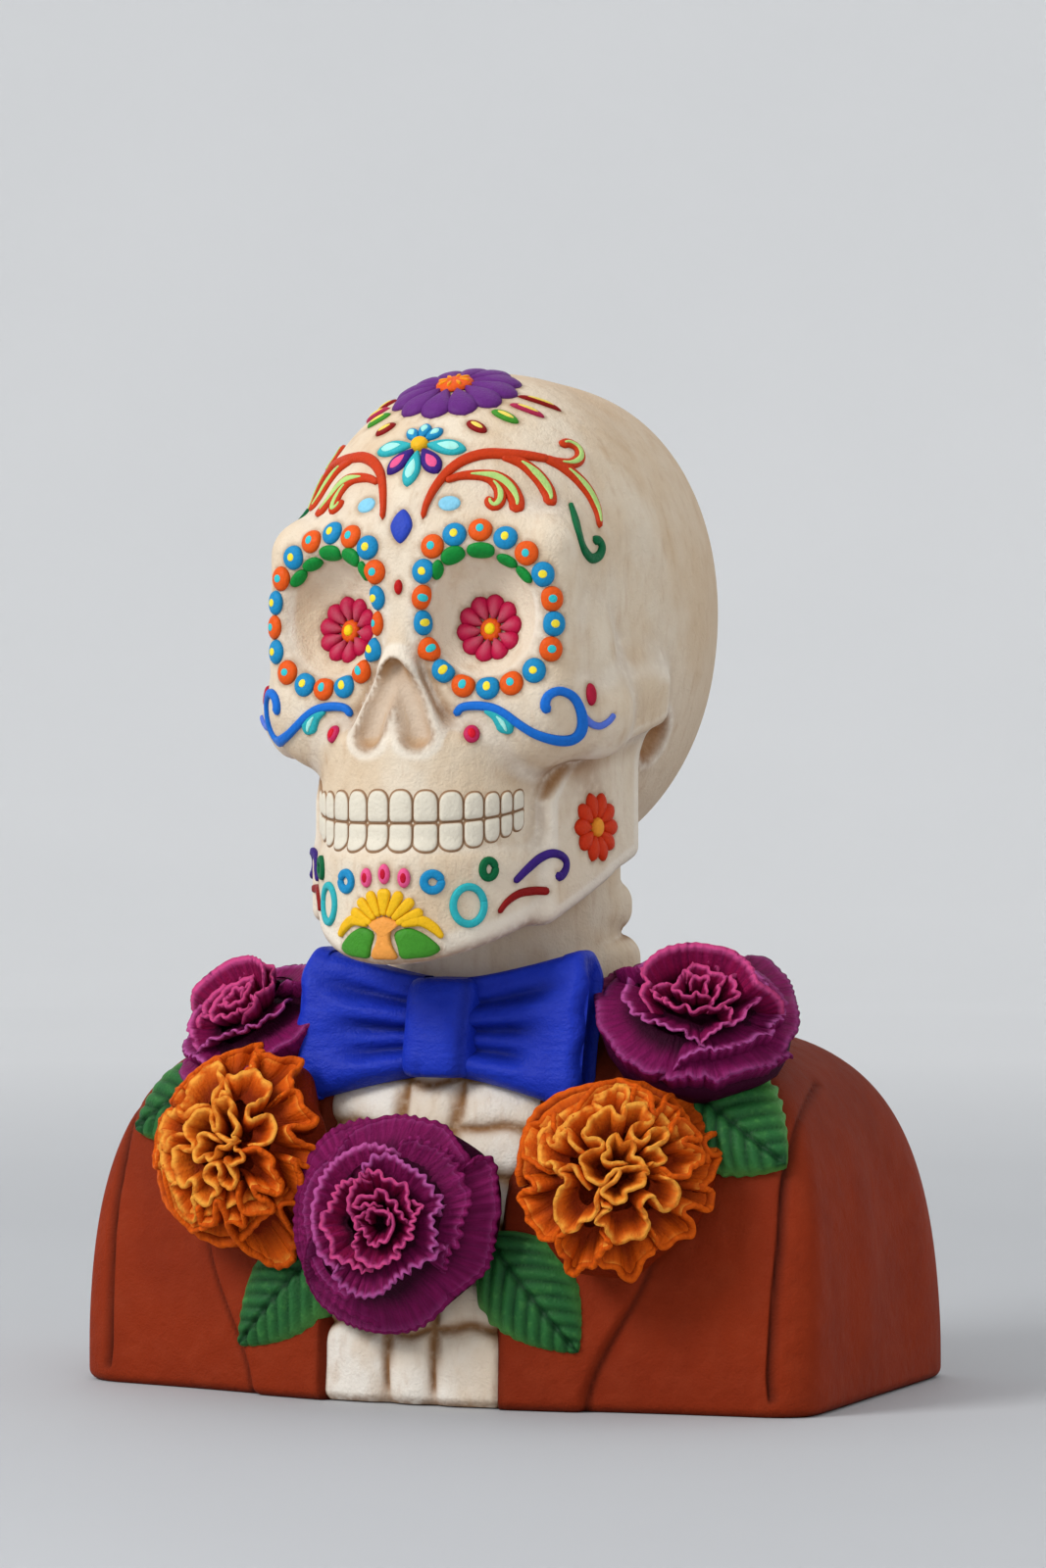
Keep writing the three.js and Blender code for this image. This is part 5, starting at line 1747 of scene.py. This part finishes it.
def rose_paint():
    """Purple and crimson with pink brushed over the lips, painted light on the outward ruffles high
    up the petals, and painted shade in the inward folds and deep down between the petals.
    """
    paint = Paint("rose", "7a1450", 0.6, gloss=0.06)
    heart, rise, wave = (paint.field(name) for name in ("heart", "rise", "wave"))
    strokes = paint.noise(1.1, 0.35, 0.68, (1, 9, 1), place=paint.fields("run", "up", "heart"))
    paint.coat(paint.span(heart, 0.2, 0.9, 0, 0.85), "8e0e3e")
    # Painted light on the outward ruffles, high up the petals.
    lit = paint.times(paint.span(wave, 0.4, 1), paint.span(rise, 0.3, 1))
    paint.veil(lit, 0.65, "a23078")
    paint.veil(strokes, 0.5, "4a0c34")
    # Painted shade in the inward folds of the ruffles, and deep down the petals and on the bud.
    paint.coat(paint.span(wave, 0.42, 0.05, 0, 0.6), "2e061c")
    paint.coat(paint.span(rise, 0.7, 0.2, 0, 0.9), "220416")
    lip = paint.times(paint.span(paint.field("lip"), 0.3, 0.85), paint.noise(2.2, 0.25, 0.5))
    outer = paint.span(heart, 0, 0.2, 0.4, 1)
    brushed = paint.times(lip, outer)
    paint.veil(brushed, 0.85, "bc5ca2")
    pink = paint.times(brushed, paint.span(heart, 0.3, 0.75))
    paint.veil(pink, 0.85, "d4467e")
    paint.bump(paint.noise(0.8, 0.3, 0.7), 0.12)
    paint.bump(strokes, 0.12)
    return paint.finish()


# Pixels along the lips of a marigold's petals.
MARIGOLD_LIPS = (
    ((637, 1185), (626, 1186), (616, 1184), (615, 1178), (621, 1173), (620, 1163), (629, 1155),
     (632, 1160), (635, 1166), (640, 1163), (645, 1163), (648, 1170), (647, 1178), (654, 1182),
     (661, 1190)),
    ((593, 1187), (590, 1182), (593, 1177), (602, 1172), (612, 1171), (615, 1166), (611, 1160),
     (602, 1160), (594, 1157), (596, 1150), (602, 1140), (611, 1133), (623, 1127), (627, 1133),
     (633, 1138), (637, 1135), (639, 1126), (648, 1124), (658, 1126), (663, 1134), (667, 1141),
     (659, 1144), (649, 1145), (645, 1153), (648, 1160), (655, 1163), (662, 1160), (665, 1153),
     (674, 1149), (683, 1153), (682, 1160), (674, 1166), (661, 1171), (671, 1170), (676, 1175),
     (681, 1182), (675, 1187), (667, 1185)),
    ((590, 1185), (595, 1191), (598, 1202), (608, 1208), (617, 1206), (623, 1197), (631, 1193),
     (632, 1198), (627, 1205), (614, 1215), (617, 1222), (629, 1229), (637, 1226), (640, 1217),
     (649, 1212), (658, 1210), (660, 1203), (658, 1197), (663, 1196), (658, 1191), (649, 1190),
     (637, 1191)),
    ((590, 1172), (579, 1163), (580, 1156), (576, 1149), (574, 1155), (568, 1155), (566, 1164),
     (562, 1168), (557, 1163), (555, 1155), (550, 1165), (548, 1178), (552, 1188), (561, 1185),
     (564, 1193)),
    ((593, 1207), (589, 1199), (583, 1190), (575, 1190), (569, 1196), (574, 1200), (576, 1207),
     (568, 1215), (564, 1229), (566, 1245), (574, 1257), (583, 1259), (592, 1248), (602, 1245),
     (608, 1237), (607, 1226), (610, 1216)),
    ((614, 1231), (623, 1234), (615, 1240), (607, 1248), (616, 1253), (623, 1266), (631, 1271),
     (643, 1266), (656, 1265), (663, 1254), (661, 1244), (656, 1234), (657, 1226), (664, 1222),
     (670, 1224), (675, 1233), (681, 1237), (690, 1231), (695, 1219), (692, 1207), (683, 1202)),
    ((678, 1191), (686, 1199), (695, 1201), (704, 1199), (709, 1190), (718, 1186), (720, 1179),
     (716, 1172), (706, 1168), (698, 1165), (704, 1160), (715, 1162), (716, 1156), (706, 1147),
     (696, 1140), (689, 1144), (686, 1153)),
    ((614, 1128), (605, 1125), (607, 1119), (615, 1116), (621, 1111), (631, 1105), (641, 1108),
     (642, 1116), (637, 1124)),
    ((645, 1119), (648, 1108), (658, 1111), (666, 1116), (666, 1127), (668, 1135), (674, 1131),
     (679, 1122)),
    ((564, 1159), (571, 1149), (579, 1141), (590, 1133), (604, 1127)),
    ((563, 1149), (562, 1141), (564, 1135), (556, 1135), (552, 1141), (549, 1145), (541, 1145),
     (534, 1155), (531, 1168), (532, 1179), (542, 1185), (549, 1191)),
    ((583, 1138), (593, 1122), (605, 1108), (620, 1102), (631, 1100), (645, 1104), (656, 1109)),
    ((693, 1138), (695, 1130), (686, 1127), (679, 1121), (687, 1114), (700, 1115), (714, 1119),
     (726, 1127), (731, 1135), (731, 1144), (741, 1149), (740, 1157), (731, 1156), (724, 1160),
     (722, 1168), (729, 1177), (738, 1177), (740, 1169)),
    ((737, 1181), (731, 1196), (725, 1207), (717, 1212), (729, 1216), (729, 1228), (725, 1237),
     (715, 1232), (704, 1232), (700, 1238), (707, 1248), (711, 1256), (706, 1264), (693, 1265),
     (684, 1273), (675, 1275), (670, 1263)),
    ((668, 1279), (655, 1291), (653, 1301), (646, 1309), (636, 1307), (631, 1299), (623, 1295),
     (614, 1294), (609, 1288), (614, 1279), (623, 1272), (617, 1266)),
    ((614, 1276), (608, 1288), (604, 1296), (594, 1295), (587, 1303), (577, 1300), (576, 1287),
     (569, 1281), (567, 1265), (576, 1259)),
    ((568, 1254), (564, 1265), (557, 1268), (550, 1265), (544, 1254), (536, 1247), (535, 1235),
     (531, 1231), (527, 1223), (532, 1216), (543, 1215), (543, 1207), (535, 1201)),
)
MARIGOLD_HEIGHTS = ((0, 24), (5, 25), (13, 25), (20, 22), (27, 16), (32, 8), (38, -2))


def marigold_paint():
    """Orange with yellow brushed over the lips, and painted shade, dark red-brown, in the inward
    folds and the depths.
    """
    paint = Paint("marigold", "e2620f", 0.6, gloss=0.06)
    heart, rise, wave = (paint.field(name) for name in ("heart", "rise", "wave"))
    strokes = paint.noise(1.6, 0.35, 0.68, (1, 7, 1), place=paint.fields("run", "up", "heart"))
    paint.coat(paint.span(heart, 0.4, 1, 0, 0.6), "e08a24")
    paint.veil(paint.noise(5, 0.4, 0.7), 0.4, "b8450f")
    paint.veil(strokes, 0.4, "a83c0c")
    # Painted shade in the inward folds of the ruffles, and deep down the petals and on the bud.
    paint.coat(paint.span(wave, 0.5, 0.05, 0, 0.65), "a02e08")
    paint.coat(paint.span(rise, 0.92, 0.35, 0, 0.88), "6c1804")
    brushed = paint.times(paint.span(paint.field("lip"), 0.2, 0.8), paint.noise(4, 0.3, 0.6))
    paint.veil(brushed, 0.85, "f8ae44")
    paint.bump(paint.noise(0.9, 0.3, 0.7), 0.15)
    paint.bump(strokes, 0.15)
    return paint.finish()


LEAF_WIDTH = 30
LEAF_ROWS, LEAF_COLUMNS = 60, 37
LEAF_THICK = 4.5
VEIN_PITCH = 5.8
MIDRIB_WIDTH = 0.8


def leaf(piece, start, end):
    """A leaf laid on the chest from its stem to its tip, swollen between its veins."""
    start, end = np.array(start, float), np.array(end, float)
    t = np.linspace(0.02, 1, LEAF_ROWS)[:, None]
    s = np.linspace(-1, 1, LEAF_COLUMNS)[None, :]
    length = np.linalg.norm(end - start)
    wide = min(LEAF_WIDTH, 0.7 * length)
    shape = np.sin(np.pi * t**0.85) ** 0.75
    vein = (t * length - (np.abs(s) + 0.25 * s**2) * shape * wide * 0.42) / VEIN_PITCH
    half = wide / 2 * shape * (1 + 0.035 * np.cos(2 * np.pi * vein) * np.abs(s) ** 4)
    way = (end - start) / length
    side = np.array((-way[1], way[0]))
    place = start + (end - start) * t[..., None] + side * (s * half)[..., None]
    swollen = 0.5 - 0.5 * np.cos(2 * np.pi * vein)
    rib = ridge(s * half, MIDRIB_WIDTH)
    rise = 3.6 + 2.4 * np.sin(np.pi * t) - 1.8 * s**2 - 1.5 * np.abs(s) ** 8
    rise = rise + (1.3 * swollen**0.45 - 1.2 * rib) * smooth(1.05, 0.85, np.abs(s))
    at, normal = chest(place[..., 0], place[..., 1])
    top = at + normal * rise[..., None]
    under = at + normal * (rise[..., None] - LEAF_THICK)
    points = np.concatenate([top, under[:, ::-1]], 1)
    # Painted shade along the vein grooves and the midrib.
    wash = np.clip(1 - swollen**0.35 + rib, 0, 1)
    faces = grid_faces(LEAF_ROWS, 2 * LEAF_COLUMNS, True)
    corner, above, beside = points[0, 22], points[1, 22], points[0, 23]
    if np.cross(above - corner, beside - corner) @ normal[0, LEAF_COLUMNS // 2] > 0:
        faces = faces[:, ::-1]
    # Painted shade all over the underside.
    wash = np.concatenate([wash, np.ones(wash.shape)], 1)
    edge = np.tile(np.append(np.abs(s) ** 6, np.zeros(LEAF_COLUMNS)), LEAF_ROWS)
    piece.add(points, faces, LEAF, wash=wash, lip=edge)


# From each leaf's stem to its tip, as the distance from the middle and the height.
LEAF_ENDS = (
    ((24, 52), (54, 18)),
    ((-24, 52), (-59.5, 15)),
    ((75, 97), (112, 74)),
    ((-78, 95), (-107, 78)),
)


def leaves():
    """Two leaves beside the middle rose and one beside each shoulder rose."""
    piece = Piece("leaves")
    for stem, tip in LEAF_ENDS:
        leaf(piece, stem, tip)
    piece.build()


def leaf_paint():
    """Green, lighter along the edges, with painted shade along the veins and on the underside."""
    paint = Paint("leaves", "2c6a34", 0.42)
    paint.veil(paint.noise(8, 0.35, 0.7), 0.5, "1c5630")
    paint.veil(paint.noise(2.5, 0.5, 0.8), 0.4, "579c4c")
    # Painted shade, dark green, in the vein grooves, along the midrib and on the underside.
    paint.veil(paint.field("wash"), 0.85, "0a3018")
    paint.veil(paint.field("lip"), 0.6, "6aac50")
    paint.bump(paint.noise(0.8, 0.3, 0.7), 0.1)
    return paint.finish()


# Each flower's distance from the middle, its height, the way that it faces and its lift.
ROSE_MIDDLE = (-2, 56, (0, -1, 0.02), 5)
ROSE_LEFT = (78, 105.5, (0.28, -0.575, 0.77), 14)
ROSE_RIGHT = (-64, 104.5, (-0.34, -0.53, 0.78), 8)
MARIGOLD_LEFT = (62, 67, (0.35, -0.88, 0.32), 8)
MARIGOLD_RIGHT = (-55, 72, (-0.2, -0.92, 0.3), 8)
# How far its bud drops, how thick its petals are, their ruffles' length and their mesh's spacing.
ROSE_MAKE = {"drop": 12, "thick": 1.3, "wave": 3.4, "spacing": 0.42}
SHOULDER_MAKE = {"drop": 19, "thick": 1.2, "wave": 3.2, "spacing": 0.42}
MARIGOLD_MAKE = {"drop": 12, "thick": 1.7, "wave": 5, "spacing": 0.52}
MARIGOLD_DEPTH, MARIGOLD_RIPPLE = 8, 0.3


def garland():
    """Three roses and two marigolds over the chest, and four leaves."""
    middle = on_chest(*ROSE_MIDDLE)
    lips = lips_seen(ROSE_LIPS, middle, ROSE_HEIGHTS)
    bloom("rose_middle", lips, ROSE_HEIGHTS, ROSE, middle, **ROSE_MAKE)
    left, right = on_chest(*ROSE_LEFT), on_chest(*ROSE_RIGHT)
    flower_of = (lips_seen(SHOULDER_LIPS, left, SHOULDER_HEIGHTS), SHOULDER_HEIGHTS, ROSE)
    bloom("rose_left", *flower_of, left, **SHOULDER_MAKE)
    bloom("rose_right", *flower_of, right, **SHOULDER_MAKE, mirror=-1)
    left, right = on_chest(*MARIGOLD_LEFT), on_chest(*MARIGOLD_RIGHT)
    lips = [(MARIGOLD_DEPTH, MARIGOLD_RIPPLE, 0, *pixels) for pixels in MARIGOLD_LIPS]
    flower_of = (lips_seen(lips, left, MARIGOLD_HEIGHTS), MARIGOLD_HEIGHTS, MARIGOLD)
    bloom("marigold_left", *flower_of, left, **MARIGOLD_MAKE)
    bloom("marigold_right", *flower_of, right, **MARIGOLD_MAKE, spin=160, mirror=-1, size=1.03)
    leaves()


# The studio, in metres.

FLOOR_RINGS = (0.01, 0.3, 0.6, 0.9, 1.3, 1.8, 2.6)
FLOOR_BEND = 1.4
WALL_TOP = 3.4
FLOOR_TURN = 64  # points round it
SKY_COLOUR = (0.985, 0.99, 1.0, 1)
SKY_STRENGTH = 0.72
LIGHTS = (  # name, place, size, watts
    ("key", (-0.9, -1.4, 1.3), 0.7, 24),
    ("fill", (1.5, -1.1, 0.5), 1.2, 3),
    ("top", (0.1, 0.5, 1.7), 1.2, 2.5),
)
LIT_PLACE = (0, 0, 0.16)
SENSOR = 36  # millimetres of its camera


def floor():
    """A pale floor that sweeps up to a wall far round the bust."""
    flat = FLOOR_RINGS[-1]
    sweep = [(r, 0.0) for r in FLOOR_RINGS]
    for b in np.linspace(0, np.pi / 2, 10)[1:]:
        sweep.append((flat + FLOOR_BEND * math.sin(b), FLOOR_BEND * (1 - math.cos(b))))
    sweep.append((flat + FLOOR_BEND, WALL_TOP))
    a = np.linspace(0, 2 * np.pi, FLOOR_TURN, endpoint=False)
    rings = np.array([[(r * math.cos(t), r * math.sin(t), z) for t in a] for r, z in sweep])
    data = bpy.data.meshes.new("floor")
    faces = grid_faces(len(sweep), FLOOR_TURN, True)[:, ::-1].tolist()
    faces.append(list(range(FLOOR_TURN)))
    data.from_pydata(rings.reshape(-1, 3).tolist(), [], faces)
    data.polygons.foreach_set("use_smooth", np.ones(len(faces), bool))
    made = bpy.data.objects.new("floor", data)
    bpy.context.scene.collection.objects.link(made)
    far = data.attributes.new("far", "FLOAT", "POINT")
    away = np.repeat([smooth(0.3, 2.4, r) for r, _ in sweep], FLOOR_TURN)
    far.data.foreach_set("value", away.astype(np.float32))
    paint = Paint("floor", "b9bbbe", 0.7)
    # Painted light: greyer near the bust under the lamps and lighter far out, where their light
    # falls off.
    paint.coat(paint.field("far"), "f4f5f6")
    paint.veil(paint.noise(400, 0.2, 0.8), 0.1, "d8dcde")
    data.materials.append(paint.finish())


def aimed(name, data, at, way):
    """A light or a camera at a place, looking a way."""
    made = bpy.data.objects.new(name, data)
    made.location = Vector(at)
    made.rotation_mode = "QUATERNION"
    made.rotation_quaternion = Vector(way).to_track_quat("-Z", "Y")
    bpy.context.scene.collection.objects.link(made)
    return made


def studio():
    """The floor, a pale sky, soft lights and the camera."""
    floor()
    world = bpy.data.worlds.new("studio")
    world.use_nodes = True
    sky = world.node_tree.nodes["Background"]
    sky.inputs["Color"].default_value = SKY_COLOUR
    sky.inputs["Strength"].default_value = SKY_STRENGTH
    bpy.context.scene.world = world
    for name, at, size, watts in LIGHTS:
        light = bpy.data.lights.new(name, "AREA")
        light.size = size
        light.energy = watts
        aimed(name, light, at, Vector(LIT_PLACE) - Vector(at))

    camera = bpy.data.cameras.new("camera")
    camera.sensor_width = SENSOR
    camera.lens = FOCAL_PIXELS / PHOTO[1] * SENSOR
    bpy.context.scene.camera = aimed("camera", camera, CAMERA_AT * MM, -CAMERA_BACK)
    bpy.context.scene.view_settings.view_transform = "Standard"


# The paints, the pieces and the studio.

BONE = bone_paint("bone", "e6d7c1")
RIB = bone_paint("rib", "f0e8dc")
TOOTH = tooth_paint()
JACKET = jacket_paint()
BOW = bow_paint()
ROSE = rose_paint()
MARIGOLD = marigold_paint()
LEAF = leaf_paint()

jacket()
ribs()
bow()
garland()
eye_rings()
eye_flowers()
brow_scrolls()
face_scrolls()
forehead()
jaw_ornaments()
chin_tree()
teeth()
skull_and_neck()
studio()
